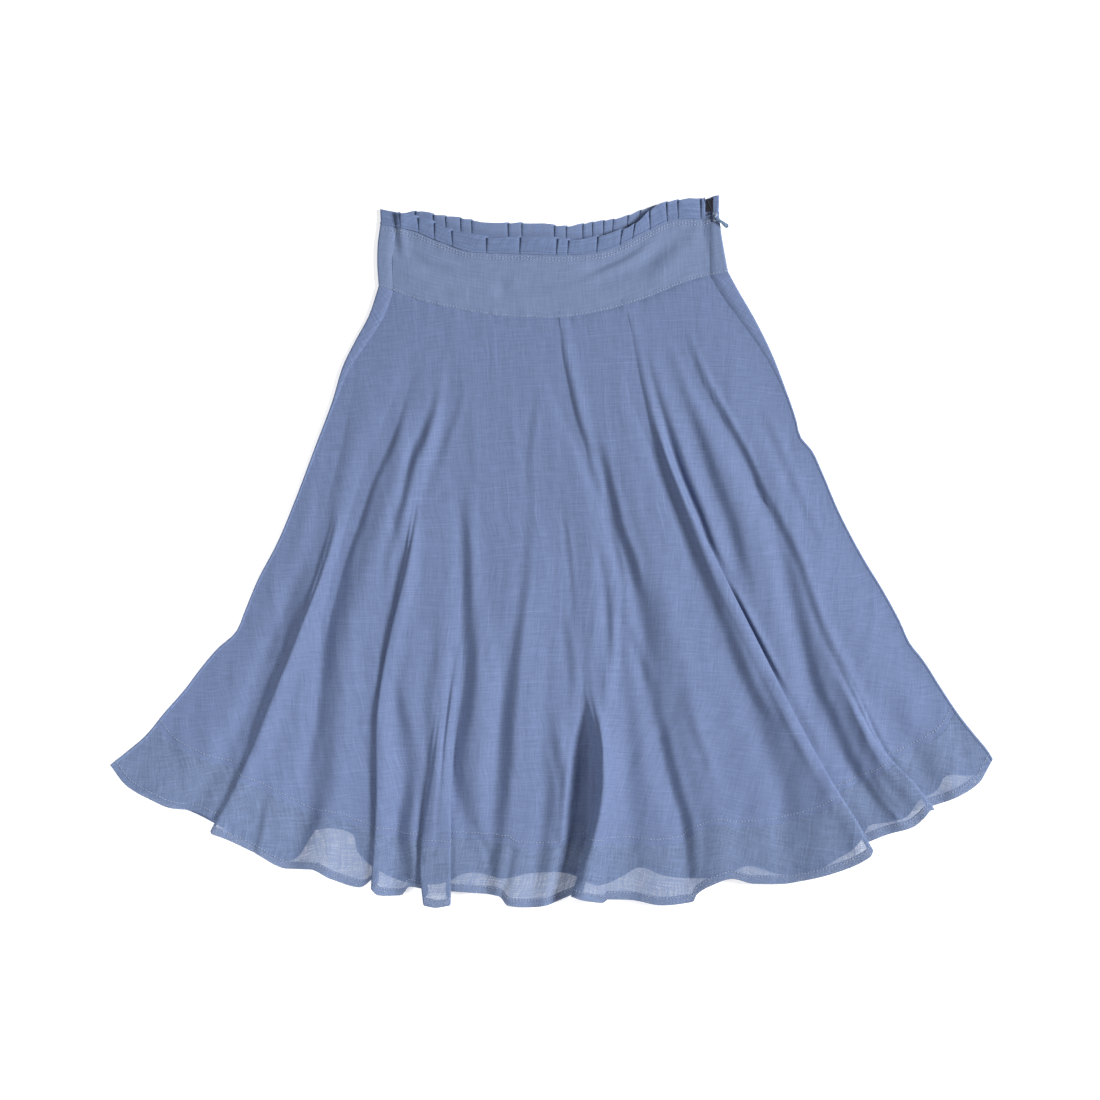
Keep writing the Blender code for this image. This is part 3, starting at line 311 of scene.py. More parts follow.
# Shaded sides of the soft folds: how far the crest on its right and the trough on its left stand off the
# cloth, spaced along the path, half their distance apart, and the path. Under 0, the crest is on the left.
Flank = namedtuple("Flank", "rises half_width path")
FLANKS = (
    Flank((0, 2.5, 3.2, 2.6, 0), 14, ((405, 410), (385, 475), (368, 535), (355, 590), (343, 650))),
    Flank((0, 2.0, 2.6, 2.0, 0), 12, ((690, 395), (708, 445), (726, 500), (742, 545), (757, 600))),
    Flank((0, 1.6, 2.0, 1.8, 1.5, 0), 6,
          ((464, 470), (467, 545), (470, 620), (470, 693), (461, 745), (459, 790))),
    Flank((0, 1.2, 1.6, 1.8, 1.6, 0.8), 6,
          ((531, 500), (524, 590), (516, 655), (510, 715), (506, 780), (497, 850))),
    Flank((0, -2.0, -4.0, -4.0, -4.0, -1), 4, ((584, 700), (577, 740), (571, 780), (568, 813), (568, 866))),
    Flank((0, 1.0, 1.5, 1.4, 1.0, 0), 5,
          ((411, 383), (393, 443), (373, 480), (362, 517), (345, 567), (337, 593))),
    Flank((0, -0.8, -1.0, -0.8, 0), 5, ((397, 387), (380, 443), (360, 493), (340, 550), (322, 600))),
    Flank((0, 1.6, 2.2, 2.0, 1.4, 0.6, 0), 5,
          ((440, 390), (427, 430), (413, 463), (403, 503), (392, 547), (380, 600))),
    Flank((0, -0.9, -1.2, -0.9, 0), 5, ((450, 352), (438, 425), (424, 480), (411, 520), (402, 560))),
    Flank((0, 0.7, 0.7, 0), 3.5, ((462, 372), (459, 405), (447, 440), (436, 480))),
    Flank((0, 1.4, 1.6, 0), 6, ((340, 490), (333, 530), (322, 565), (310, 605))),
    Flank((0, 1.6, 2.2, 2.2, 1.8, 0), 4.5,
          ((316, 585), (297, 622), (290, 647), (278, 677), (265, 713), (246, 763))),
    Flank((0, 1.4, 1.2, 1.2, 1.2, 0), 6,
          ((338, 587), (331, 623), (328, 660), (323, 690), (319, 727), (304, 795))),
    Flank((0, 1.0, 1.2, 1.1, 1.0, 0.6), 6,
          ((441, 600), (437, 647), (430, 690), (428, 723), (433, 760), (426, 850))),
    Flank((0, 0.6, 0.7, 0), 4, ((395, 655), (399, 697), (409, 727), (414, 760))),
    Flank((0, 1.6, 2.2, 1.6), 6, ((410, 760), (409, 800), (406, 833), (410, 868))),
    Flank((0, -1.0, -1.2, -0.8), 6, ((450, 600), (449, 660), (447, 720), (452, 790))),
    Flank((0, -1.0, -1.2, -1.4, 0), 7, ((492, 600), (495, 660), (493, 720), (486, 775), (488, 830))),
    Flank((0, -0.6, -0.7, 0), 8, ((536, 600), (540, 660), (536, 720), (533, 800))),
    Flank((0, 0.5, 0.5, 0), 3, ((566, 500), (567, 530), (572, 575), (574, 620))),
    Flank((0, 0.6, 0.5, 0), 4, ((541, 380), (534, 415), (530, 450), (531, 500))),
    Flank((0, 0.9, 1.0, 0), 5, ((561, 610), (569, 645), (572, 677), (571, 710))),
    Flank((0, 0.9, 1.3, 1.6, 0), 5, ((551, 705), (556, 745), (562, 768), (567, 800), (568, 860))),
    Flank((0, 2.6, 3.6, 3.8, 3.4, 1.5), 4,
          ((585, 700), (596, 745), (599, 775), (597, 805), (590, 835), (580, 866))),
    Flank((0, 1.3, 1.4, 1.0, 0), 5, ((606, 580), (609, 620), (607, 655), (603, 692), (600, 730))),
    Flank((0, -1.1, -0.8, 0), 4, ((618, 590), (617, 640), (614, 690), (611, 740))),
    Flank((0, 1.0, 1.2, 1.5, 1.8, 1.2), 5,
          ((655, 700), (663, 728), (670, 760), (678, 790), (688, 825), (692, 868))),
    Flank((0, 0.9, 0.9, 0), 5, ((622, 608), (636, 645), (648, 680), (656, 705))),
    Flank((0, 0.7, 0.8, 0), 5, ((685, 690), (692, 725), (703, 755), (712, 790))),
    Flank((0.8, 1.6, 1.9, 1.9, 1.5, 0), 5,
          ((560, 326), (563, 358), (568, 380), (575, 411), (587, 453), (605, 510))),
    Flank((0, 0.7, 0.7, 0), 3.5, ((600, 490), (609, 520), (619, 555), (627, 625))),
    Flank((0, 0.9, 1.8, 2.2, 1.6, 0), 4.5,
          ((596, 430), (606, 468), (613, 497), (620, 527), (632, 558), (642, 600))),
    Flank((0.6, 1.3, 1.3, 1.0, 1.0, 0.6), 5,
          ((630, 325), (642, 387), (655, 437), (673, 487), (693, 537), (715, 600))),
    Flank((0, 1.2, 1.4, 1.3, 0), 5.5, ((712, 592), (728, 632), (741, 663), (755, 695), (778, 732))),
    Flank((0, 0.8, 1.8, 2.8, 3.0, 2.6, 0), 4,
          ((645, 345), (660, 397), (675, 443), (685, 473), (700, 510), (712, 543), (728, 578))),
    Flank((0, 1.0, 1.5, 1.5, 1.3, 1.1, 0), 5.5,
          ((664, 335), (680, 382), (697, 427), (712, 470), (730, 517), (742, 557), (757, 610))),
    Flank((0, 2.4, 2.6, 1.4, 1.3, 0.8), 3.5,
          ((686, 335), (693, 356), (701, 376), (720, 410), (747, 457), (764, 497))),
    Flank((0.6, 1.0, 1.1, 1.1, 1.2, 1.1, 1.1, 1.0, 1.2, 0.9, 0), 4.3,
          ((762, 490), (780, 523), (798, 560), (812, 602), (827, 640), (840, 665), (852, 690), (870, 724),
           (887, 755), (902, 773), (915, 790))),
    Flank((0, 0.8, 1.1, 1.0, 0.9, 1.0, 0.8), 5,
          ((797, 600), (806, 642), (819, 688), (836, 722), (849, 756), (869, 785), (890, 811))),
    Flank((0, 1.7, 2.3, 2.0, 0), 2.6, ((722, 572), (738, 600), (752, 627), (768, 657), (786, 692))),
    Flank((0, 0.7, 0.7, 0.5, 0), 5, ((756, 403), (773, 437), (787, 470), (805, 512), (826, 555))),
    Flank((0, -0.8, -1.0, -1.0, 0), 5, ((652, 400), (668, 448), (690, 500), (708, 545), (722, 585))),
    Flank((0, -1.0, -1.2, 0), 5, ((772, 680), (790, 715), (806, 746), (824, 776))),
    Flank((0, 1.3, 1.2), 4, ((270, 785), (264, 815), (257, 850))),
    Flank((0, 1.0, 0.4), 5, ((325, 795), (313, 828), (305, 852))),
)
SMALL_YOKE_CREASES = (
    Small((0, -1.2, -1.3, 0), 3.0, ((655, 236), (640, 248), (622, 259), (600, 268), (575, 282))),
    Small((0, -0.8, 0), 3.0, ((570, 263), (592, 265), (615, 261))),
)
YOKE_FLANKS = (
    Flank((0, 0.9, 0.9, 0.9, 0), 4, ((652, 240), (622, 261), (600, 271), (565, 284), (515, 285))),
    Flank((0, 1.0, 1.1, 0), 9, ((682, 226), (670, 245), (656, 265), (640, 285))),
    Flank((0, 0.6, 0.6, 0), 6, ((664, 226), (640, 247), (612, 262), (590, 272))),
    Flank((0, 0.5, 0.5, 0), 7, ((560, 292), (500, 292), (450, 285), (405, 262))),
    Flank((0, 0.6, 0.6, 0), 5, ((470, 266), (440, 259), (412, 250))),
)
# The turned edges beside the waist's left end and beside the zip, down the frill and the yoke
EDGE_FLANKS = (
    Flank((1.3, 1.5, 1.2, 0), 4, ((399, 205), (398, 222), (399, 242), (403, 262))),
    Flank((0.8, 1.0, 0), 5, ((705, 205), (707, 228), (710, 256))),
)

# Mesh density: width of a column, and shares of the rings
COLUMN_STEP = 2.1
PANEL_ROWS = tuple(FLOUNCE_SHARE * i / 92 for i in range(93))
FLOUNCE_ROWS = (0.89, 0.8925, 0.896, 0.901, 0.907, 0.913, 0.919, 0.925, 0.931, 0.937, 0.943, 0.949, 0.955,
                0.961, 0.967, 0.973, 0.979, 0.984, 0.9875, 0.991, 0.9945, 0.998, 1.0)
# Rings of the turned hem, how far its fold draws in, and its gap beside the layer gap
HEM_RINGS, HEM_PULL_IN, HEM_GAP = 6, 0.25, 0.8
BACK_PANEL_ROWS = tuple(FLOUNCE_SHARE * i / 60 for i in range(61))
YOKE_ROWS = tuple(i / 26 for i in range(27))
FRILL_ROWS = tuple(i / 12 for i in range(13))
BACK_COLUMNS = 170
YOKE_COLUMNS = 150
TURN_ANGLES = tuple(range(-90, 91, 15))
# Points at which a ring's length, a path's crossing, a path's distance and a frill's reach are read
WIDTH_READS, CROSSING_READS, PATH_READS, REACH_READS = 81, 241, 40, 300
# Least and most columns between two control points of the front
SPAN_COLUMNS = (2, 6)

# Size of the table that a ripple repeats over, and the seeds of its uses
RIPPLE_TABLE = 96
PANEL_PUCKER_SEED, YOKE_PUCKER_SEED, BACK_SEED, PLEAT_SEED = 11, 12, 5, 21
FRONT_FRILL_SEED, BACK_FRILL_SEED = 5, 9
# Distance from a side fold over which the wrinkles of the panels, and of the yoke, come in
PANEL_FADE, YOKE_FADE = (0.0, 25.0), (4.0, 20.0)
# Share of the wrinkles at the yoke seam, and the shares of the way down between which they grow to full
WRINKLES_AT_TOP, WRINKLES_GROW = 0.45, (0.1, 0.6)
YOKE_SEAM_PUCKER = 0.7
# Puckers of the yoke: share of the panel's, width of one, and reach from the yoke seam and from the waist
YOKE_PUCKER = (0.8, 4.6, 6.0, 9.0)
# Swells of the back panel across and down, and their height
BACK_SWELLS = (38, 5, 0.5)
# Swells of a frill's top edge along the waist, of its pleats along and up, and the height of the pleats' own
FRILL_SWELLS = (17, 43)
PLEAT_SWELLS, PLEAT_SWELL_HEIGHT = (46, 3), 0.35
# Shares of a seam allowance at which its rings lie, from its free edge to the seam
ALLOWANCE_RINGS = (1.0, 0.5, 0.12)
# How far the back's pieces run on under the front at the side seams, and a frill's share of the allowance
SIDE_ALLOWANCE, FRILL_ALLOWANCE, FRONT_FRILL_DROP = 5.0, 0.35, 0.9
# Rows of stitches: part of the front and back that they lie on, slot, distances in from its first ring on
# the front and on the back, and whether these are from its last ring instead
Row = namedtuple("Row", "name part slot front back from_end")
STITCH_ROWS = (
    Row("waist_stitches", "yoke", "yoke_voile", (5.2, 7.8), (6.5,), False),
    Row("yoke_seam_stitches", "yoke", "yoke_voile", (1.8,), (1.8,), True),
    Row("flounce_seam_stitches", "panel", "panel_voile", (6.5,), (6.5,), True),
    Row("hem_stitches", "flounce", "flounce_voile", (7.2,), (7.2,), True),
)
# How far a thread stands off the cloth and wanders, as shares of its width
THREAD_PROUD, THREAD_WANDER = 0.42, 0.3
# How much larger the inner radius of the flounces' cut is, in metres
FLOUNCE_RADIUS = 0.5
# Angles in degrees over which cloth and metal have a sharp edge
CLOTH_SHARP, METAL_SHARP = 60, 42


def smooth(value):
    """Ease from 0 to 1."""
    value = np.clip(value, 0.0, 1.0)
    return value * value * (3 - 2 * value)


def onset(value, start, full):
    """Ease from 0 at the start to 1 where it is full."""
    return smooth((value - start) / (full - start))


def level_slopes(knots, values):
    """Slopes at the knots of a line, level at each high and low so that a curve doesn't pass them."""
    steps = np.diff(values) / np.diff(knots)
    before, after = steps[:-1], steps[1:]
    turning = before * after <= 0
    inner = np.where(turning, 0.0, 2 * before * after / np.where(turning, 1.0, before + after))
    return np.concatenate((steps[:1], inner, steps[-1:]))


def hermite(knots, values, at, slopes=None):
    """Read a smooth curve through values at knots."""
    slopes = np.gradient(values, knots, axis=0) if slopes is None else slopes
    at = np.asarray(at, float)
    span = np.clip(np.searchsorted(knots, at, side="right") - 1, 0, len(knots) - 2)
    width = knots[span + 1] - knots[span]
    f = (at - knots[span]) / width
    if values.ndim > 1:
        f, width = f[..., None], width[..., None]
    return ((2 * f ** 3 - 3 * f ** 2 + 1) * values[span] + (f ** 3 - 2 * f ** 2 + f) * width * slopes[span]
            + (3 * f ** 2 - 2 * f ** 3) * values[span + 1] + (f ** 3 - f ** 2) * width * slopes[span + 1])


class Line:
    """A smooth line through a few points, read by its share of length."""

    def __init__(self, points):
        self.points = np.array(points, float)
        steps = np.linalg.norm(np.diff(self.points, axis=0), axis=1)
        self.knots = np.concatenate(([0.0], np.cumsum(steps))) / steps.sum()

    def at(self, share):
        return hermite(self.knots, self.points, np.clip(share, 0.0, 1.0))


class Patch:
    """A smooth piece of cloth in plan between two fold edges and two seams."""

    def __init__(self, left, right, top, bottom):
        self.left, self.right, self.top, self.bottom = Line(left), Line(right), Line(top), Line(bottom)

    def at(self, across, down):
        across, down = np.broadcast_arrays(np.asarray(across, float), np.asarray(down, float))
        u, t = across[..., None], down[..., None]
        sides = (1 - u) * self.left.at(down) + u * self.right.at(down)
        ends = (1 - t) * self.top.at(across) + t * self.bottom.at(across)
        corners = ((1 - u) * (1 - t) * self.top.points[0] + u * (1 - t) * self.top.points[-1]
                   + (1 - u) * t * self.bottom.points[0] + u * t * self.bottom.points[-1])
        return sides + ends - corners

    def width(self, down):
        """Length of each ring across the patch."""
        across = np.linspace(0, 1, WIDTH_READS)[:, None]
        steps = np.diff(self.at(across, np.atleast_1d(down)[None, :]), axis=0)
        return np.linalg.norm(steps, axis=2).sum(axis=0)

    def crossing(self, path, down):
        """Share across at which each ring meets a path."""
        path = np.array(path, float)
        across = np.linspace(0, 1, CROSSING_READS)
        plan = self.at(across[None, :], np.asarray(down)[:, None])
        y = plan[..., 1]
        on_path = hermite(path[:, 1], path[:, 0], np.clip(y, path[0, 1], path[-1, 1]))
        start_slope = (path[1, 0] - path[0, 0]) / (path[1, 1] - path[0, 1])
        end_slope = (path[-1, 0] - path[-2, 0]) / (path[-1, 1] - path[-2, 1])
        on_path += np.minimum(y - path[0, 1], 0) * start_slope + np.maximum(y - path[-1, 1], 0) * end_slope
        ahead = plan[..., 0] - on_path
        shares = []
        for row in ahead:
            after = int(np.argmax(row > 0)) if (row > 0).any() else len(row) - 1
            after = max(after, 1)
            before = after - 1
            shares.append(across[before] + (across[after] - across[before])
                          * np.clip(-row[before] / (row[after] - row[before]), 0, 1))
        return np.array(shares)


def base_height(edge_distance, down):
    """Height of the front's middle surface, from the side folds to the middle."""
    edge = WALL / 2 + FOLD_RISE
    middle = YOKE_HEIGHT + (SWEEP_HEIGHT - YOKE_HEIGHT) * onset(down, 0.0, SWELL_FULL)
    return edge + (middle - edge) * smooth(edge_distance / EDGE_REACH)


def lowest_height(edge_distance):
    """Height that keeps the front's wall clear of the back's."""
    edge = WALL / 2 + FOLD_RISE
    return edge + (LOW_HEIGHT - edge) * smooth(edge_distance / EDGE_REACH)


def crease_rise(creases, patch, across, down):
    """Sum of the soft ridges and troughs at points of a patch, on a grid of columns by rings."""
    width = patch.width(down)
    total = np.zeros(across.shape)
    for crease in creases:
        start = crease.start
        ramp = np.interp(down, (start, start + CREASE_ONSET, (start + 1) / 2, 1.0), (0.0, *crease.rises))
        half_width = np.interp(down, (start, 1.0), crease.widths)
        distance = (across - patch.crossing(crease.path, down)[None, :]) * width[None, :]
        distance += SHADE_SHIFT * half_width[None, :]
        total += ramp[None, :] * np.exp(-(distance / half_width[None, :]) ** 2)
    return total


def skirt_seam_offsets(down):
    """Distance of the side seams in from the fold edges, left and right."""
    run_out = onset(down, *SEAM_RUN_OUT)
    return (LEFT_SEAM_TOP + (SEAM_HEM - LEFT_SEAM_TOP) * run_out,
            RIGHT_SEAM_TOP + (SEAM_HEM - RIGHT_SEAM_TOP) * run_out)


def path_distance(plan, path):
    """Distance of plan points from a line through a few points."""
    line = Line(path).at(np.linspace(0, 1, PATH_READS))
    return np.linalg.norm(plan[..., None, :] - line, axis=-1).min(axis=-1)


class FrontSkirt:
    """The front from the yoke seam to the hem, with its deep folds."""

    def __init__(self):
        self.patch = Patch(LEFT_EDGE, RIGHT_EDGE, YOKE_SEAM, HEM_SWEEP)

    def fold_edges(self, down, width, scale, left, right):
        """Share across of each deep fold's edge, kept clear of the side seams and of each other."""
        rooms = []
        for fold in DEEP_FOLDS:
            low_side, high_side = APPROACH * scale + FOLD_ROOM, fold.crest * scale + FOLD_ROOM
            rooms.append((low_side, high_side) if fold.side == "right" else (high_side, low_side))
        edges = []
        limit = left
        for fold, (before, after) in zip(DEEP_FOLDS, rooms):
            edges.append(np.maximum(self.patch.crossing(fold.path, down), limit + before / width))
            limit = edges[-1] + after / width
        limit = right
        for i, (before, after) in reversed(list(enumerate(rooms))):
            edges[i] = np.minimum(edges[i], limit - after / width)
            limit = edges[i] - before / width
        return edges

    def controls(self, down):
        """Control points of each ring: share across, lift, and the stretch of hem each belongs to."""
        width = self.patch.width(down)
        scale = width / self.patch.width(1.0)
        left, right = skirt_seam_offsets(down)
        left, right = left / width, 1 - right / width
        edges = self.fold_edges(down, width, scale, left, right)
        level = np.zeros_like(width)
        rows = [(left, level, 0.0)]
        for i, count in enumerate(STRETCH_POINTS):
            after = [(right, level, float(i))]
            if i < len(DEEP_FOLDS):
                after = self.fold(i, edges[i], width, scale, down)
            begin, end = rows[-1][0], after[0][0]
            lift = STRETCH_LIFTS[i] * onset(down, *STRETCH_ONSET)
            rows += [(begin + (end - begin) * ((j + 1) / (count + 1)), lift, float(i)) for j in range(count)]
            rows += after
        return [np.array([row[part] + level for row in rows]) for part in range(3)]

    def fold(self, index, edge, width, scale, down):
        """Control points of one deep fold, which turns back under its flap, from its lower side on."""
        fold = DEEP_FOLDS[index]
        under, top = (index, index + 1) if fold.side == "right" else (index + 1, index)
        low = STRETCH_LIFTS[under]
        middle = low + fold.spacing
        high = low + 2 * fold.spacing
        crest_fall = high - STRETCH_LIFTS[top]
        approach, crest = APPROACH * scale, fold.crest * scale
        turn = fold.overlap + TURN_CORNER
        # Reach past the visible edge, lift, and share of the way to the upper stretch
        rows = (
            (-approach, low, 0.0),
            (-approach / 3, low, 0.0),
            (fold.overlap - TURN_RUN, low, 0.0),
            (turn, low, 0.0),
            (turn, middle, 0.25),
            (fold.overlap / 2, middle, 0.5),
            (-TURN_CORNER, middle, 0.75),
            (-TURN_CORNER, high, 1.0),
            (TURN_RUN, high, 1.0),
            (fold.overlap + CREST_HOLD, high - CREST_DIP * crest_fall, 1.0),
            (np.maximum(crest, fold.overlap + CREST_CLEARANCE), high - crest_fall / 2, 1.0),
        )
        formed = (down - fold.start) / (fold.full - fold.start)
        risen = smooth(formed / RISE_SHARE)
        turned = onset(formed, TURN_START, 1.0)
        sign = 1 if fold.side == "right" else -1
        controls = []
        for i, (reach, height, share) in enumerate(rows):
            flat = -approach + (approach + crest) * i / (len(rows) - 1)
            across = edge + sign * (flat + (reach - flat) * turned) / width
            controls.append((across, height * risen, under + (top - under) * share))
        return controls[::sign]

    def hem_shift(self, across, down, stretch):
        """How far the hem of each stretch lies below the smooth sweep."""
        sweep = self.patch.bottom.at(across)
        shift = np.zeros(across.shape)
        for i, rows in enumerate(HEM_STRETCHES):
            rows = np.array(rows, float)
            share = np.clip(1 - np.abs(stretch - i), 0, 1)
            place = np.clip(sweep[..., 0], rows[0, 0], rows[-1, 0])
            hem = hermite(rows[:, 0], rows[:, 1], place, level_slopes(rows[:, 0], rows[:, 1]))
            shift += share * (hem - sweep[..., 1])
        return shift * onset(down, HEM_SHAPING, 1.0)

    def plan(self, across, down, stretch):
        plan = self.patch.at(across, down)
        plan[..., 1] += self.hem_shift(across, down, stretch)
        return plan

    def points(self, down):
        """Middle surface of the front cloth, columns by rings."""
        down = np.array(down, float)
        controls = self.controls(down)
        width = self.patch.width(down)
        steps = np.abs(np.diff(controls[0][:, -1])) * width[-1]
        samples = np.clip(np.round(steps / COLUMN_STEP), *SPAN_COLUMNS).astype(int)
        spans = np.concatenate([np.full(count, i) for i, count in enumerate(samples)] + [[len(samples) - 1]])
        shares = np.concatenate([np.arange(count) / count for count in samples] + [[1.0]])
        across, lift, stretch = (spline_values(rows, spans, shares) for rows in controls)
        plan = self.plan(across, down[None, :], stretch)
        edge_distance = np.minimum(across, 1 - across) * width[None, :]
        height = base_height(edge_distance, down[None, :])
        height += CREASE_DEPTH * crease_rise(FRONT_CREASES, self.patch, across, down)
        small = small_creases(plan, SMALL_CREASES) + flank_rises(plan, FLANKS)
        height = np.maximum(height + small, lowest_height(edge_distance)) + lift
        points = np.dstack((plan, height))
        along = ring_lengths(points)
        fall = down[None, :] * SKIRT_DEPTH
        fade = onset(edge_distance, *PANEL_FADE)
        grown = WRINKLES_AT_TOP + (1 - WRINKLES_AT_TOP) * onset(down[None, :], *WRINKLES_GROW)
        uneven = swells(along, fall, WRINKLES) * grown
        pucker = SEAM_PUCKER[0] * ripple(along / SEAM_PUCKER[1], 0 * along, PANEL_PUCKER_SEED)
        near = np.exp(-((down[None, :] - FLOUNCE_SHARE) * SKIRT_DEPTH / SEAM_PUCKER[2]) ** 2)
        near = near + np.exp(-(fall / SEAM_PUCKER[2]) ** 2) * YOKE_SEAM_PUCKER
        points[..., 2] += (uneven + pucker * near) * fade
        return points


def spline_values(rows, spans, shares):
    """Read a smooth uniform spline at shares of its spans."""
    ends = np.vstack((2 * rows[0] - rows[1], rows, 2 * rows[-1] - rows[-2]))
    f = shares[:, None]
    weights = ((1 - f) ** 3, 3 * f ** 3 - 6 * f ** 2 + 4, -3 * f ** 3 + 3 * f ** 2 + 3 * f + 1, f ** 3)
    return sum(weight * ends[spans + k] for k, weight in enumerate(weights)) / 6


def ripple(across, along, seed):
    """Smooth uneven rise and fall between -1 and 1, about one swell to each unit."""
    size = RIPPLE_TABLE
    table = np.random.default_rng(seed).uniform(-1, 1, (size, size))
    i, j = np.floor(across).astype(int), np.floor(along).astype(int)
    u, v = smooth(across - i), smooth(along - j)
    near = table[i % size, j % size] * (1 - u) + table[(i + 1) % size, j % size] * u
    far = table[i % size, (j + 1) % size] * (1 - u) + table[(i + 1) % size, (j + 1) % size] * u
    return near * (1 - v) + far * v


def swells(across, along, table):
    """Sum of wrinkles of a few sizes."""
    return sum(height * ripple(across / width, along / length, seed)
               for seed, (height, width, length) in enumerate(table))


def nearest_on(path, places):
    """Distance of places from a broken line, which side they are on, and how many of its steps along."""
    nearest, side, step = (np.full(places.shape[:-1], value) for value in (np.inf, 0.0, 0.0))
    for i, (start, end) in enumerate(zip(path, path[1:])):
        run = end - start
        along = np.clip((places - start) @ run / (run @ run), 0, 1)
        off = places - start - along[..., None] * run
        distance = np.linalg.norm(off, axis=-1)
        closer = distance < nearest
        side = np.where(closer, np.sign(run[1] * off[..., 0] - run[0] * off[..., 1]), side)
        step = np.where(closer, i + along, step)
        nearest = np.minimum(nearest, distance)
    return nearest, side, step


def small_creases(plan, table):
    """Sum of the small creases at plan points, each with its rises spaced along its path."""
    total = np.zeros(plan.shape[:-1])
    for crease in table:
        nearest, _, step = nearest_on(np.array(crease.path, float), plan)
        stations = np.linspace(0, len(crease.path) - 1, len(crease.rises))
        total += np.interp(step, stations, crease.rises) * np.exp(-(nearest / crease.half_width) ** 2)
    return total


def flank_rises(plan, table):
    """Sum of the crests and troughs either side of each shaded line, at plan points."""
    total = np.zeros(plan.shape[:-1])
    for flank in table:
        steps = len(flank.path) * FLANK_STEPS
        path = Line(flank.path).at(np.linspace(0, 1, steps + 1))
        reach = FLANK_REACH * flank.half_width
        near = ((plan > path.min(axis=0) - reach) & (plan < path.max(axis=0) + reach)).all(axis=-1)
        nearest, side, step = nearest_on(path, plan[near])
        u = side * nearest / flank.half_width
        rises = np.interp(step / steps, np.linspace(0, 1, len(flank.rises)), flank.rises)
        total[near] += FLANK_DEPTH * rises * u * np.exp((1 - u * u) / 2)
    return total


def ring_lengths(points):
    """Distance along each ring, from the middle of the piece."""
    steps = np.linalg.norm(np.diff(points, axis=0), axis=2)
    along = np.vstack((np.zeros(points.shape[1]), np.cumsum(steps, axis=0)))
    return along - along[-1] / 2


def wrapped_rings(columns, width, left_end, right_end, down):
    """Share across, height and share on the front side, of the columns of a back piece round both folds."""
    radius = FOLD_RISE / 2
    inset, turn_end = WALL / 2 + UNDERSIDE_ROOM, WALL / 2 + radius

    def front_side(end):
        rows = [(end + (turn_end - end) * share, base_height(end + (turn_end - end) * share, down), 1.0)
                for share in (0.0, 0.5)]
        for angle in TURN_ANGLES:
            lean = math.radians(angle)
            rows.append((inset + radius * (1 - math.cos(lean)), inset + radius * (1 - math.sin(lean)),
                         0.5 - angle / 180))
        return rows

    rows = [(place / width, height, top) for place, height, top in front_side(left_end)]
    begin = turn_end / width
    for i in range(columns):
        rows.append((begin + (1 - 2 * begin) * (i + 1) / (columns + 1), inset, 0.0))
    rows += [(1 - place / width, height, top) for place, height, top in front_side(right_end)][::-1]
    level = np.ones_like(width)
    return tuple(np.array([row[part] * level for row in rows]) for part in range(3))


def blended(at_folds, between, across, reach):
    """Plan of a back piece, which follows the front's at the fold edges and its own between them."""
    share = onset(np.minimum(across, 1 - across), *reach)[..., None]
    return at_folds * (1 - share) + between * share


def back_skirt_points(front, down):
    """Middle surface of the back, from seam to seam round both side folds."""
    down = np.array(down, float)
    patch = Patch(LEFT_EDGE, RIGHT_EDGE, YOKE_SEAM, BACK_HEM)
    width = front.patch.width(down)
    left, right = skirt_seam_offsets(down)
    across, height, on_top = wrapped_rings(BACK_COLUMNS, width, left, right, down)
    stretch = np.where(across < 0.5, 0.0, float(len(DEEP_FOLDS)))
    shaped = front.plan(across, down[None, :], stretch)
    plan = blended(shaped, patch.at(across, down[None, :]), across, BACK_BLEND)
    flat = onset(np.minimum(across, 1 - across) * width, *CHANNEL_MARGIN) * (1 - on_top)
    swell_across, swell_down, swell_height = BACK_SWELLS
    uneven = 0.5 + 0.5 * ripple(across * swell_across, down[None, :] * swell_down + 0 * across, BACK_SEED)
    height = height + (crease_rise(BACK_CREASES, patch, across, down) + swell_height * uneven) * flat
    return np.dstack((plan, height))


def yoke_seam_offsets(down):
    right = RIGHT_SEAM_WAIST + (RIGHT_SEAM_TOP - RIGHT_SEAM_WAIST) * down
    return LEFT_SEAM_TOP + 0 * down, right


def yoke_relief(plan):
    relief = np.zeros(plan.shape[:-1])
    for trough in YOKE_TROUGHS:
        relief += trough.depth * np.exp(-(path_distance(plan, trough.path) / trough.half_width) ** 2)
    return relief


def edge_step(plan):
    """Rise of the front's left edge over the strip of the back that wraps round."""
    beside = plan[..., 0] - STEP_PLACE
    return STEP_RISE * np.exp(-np.clip(beside, 0, None) / STEP_RUN)


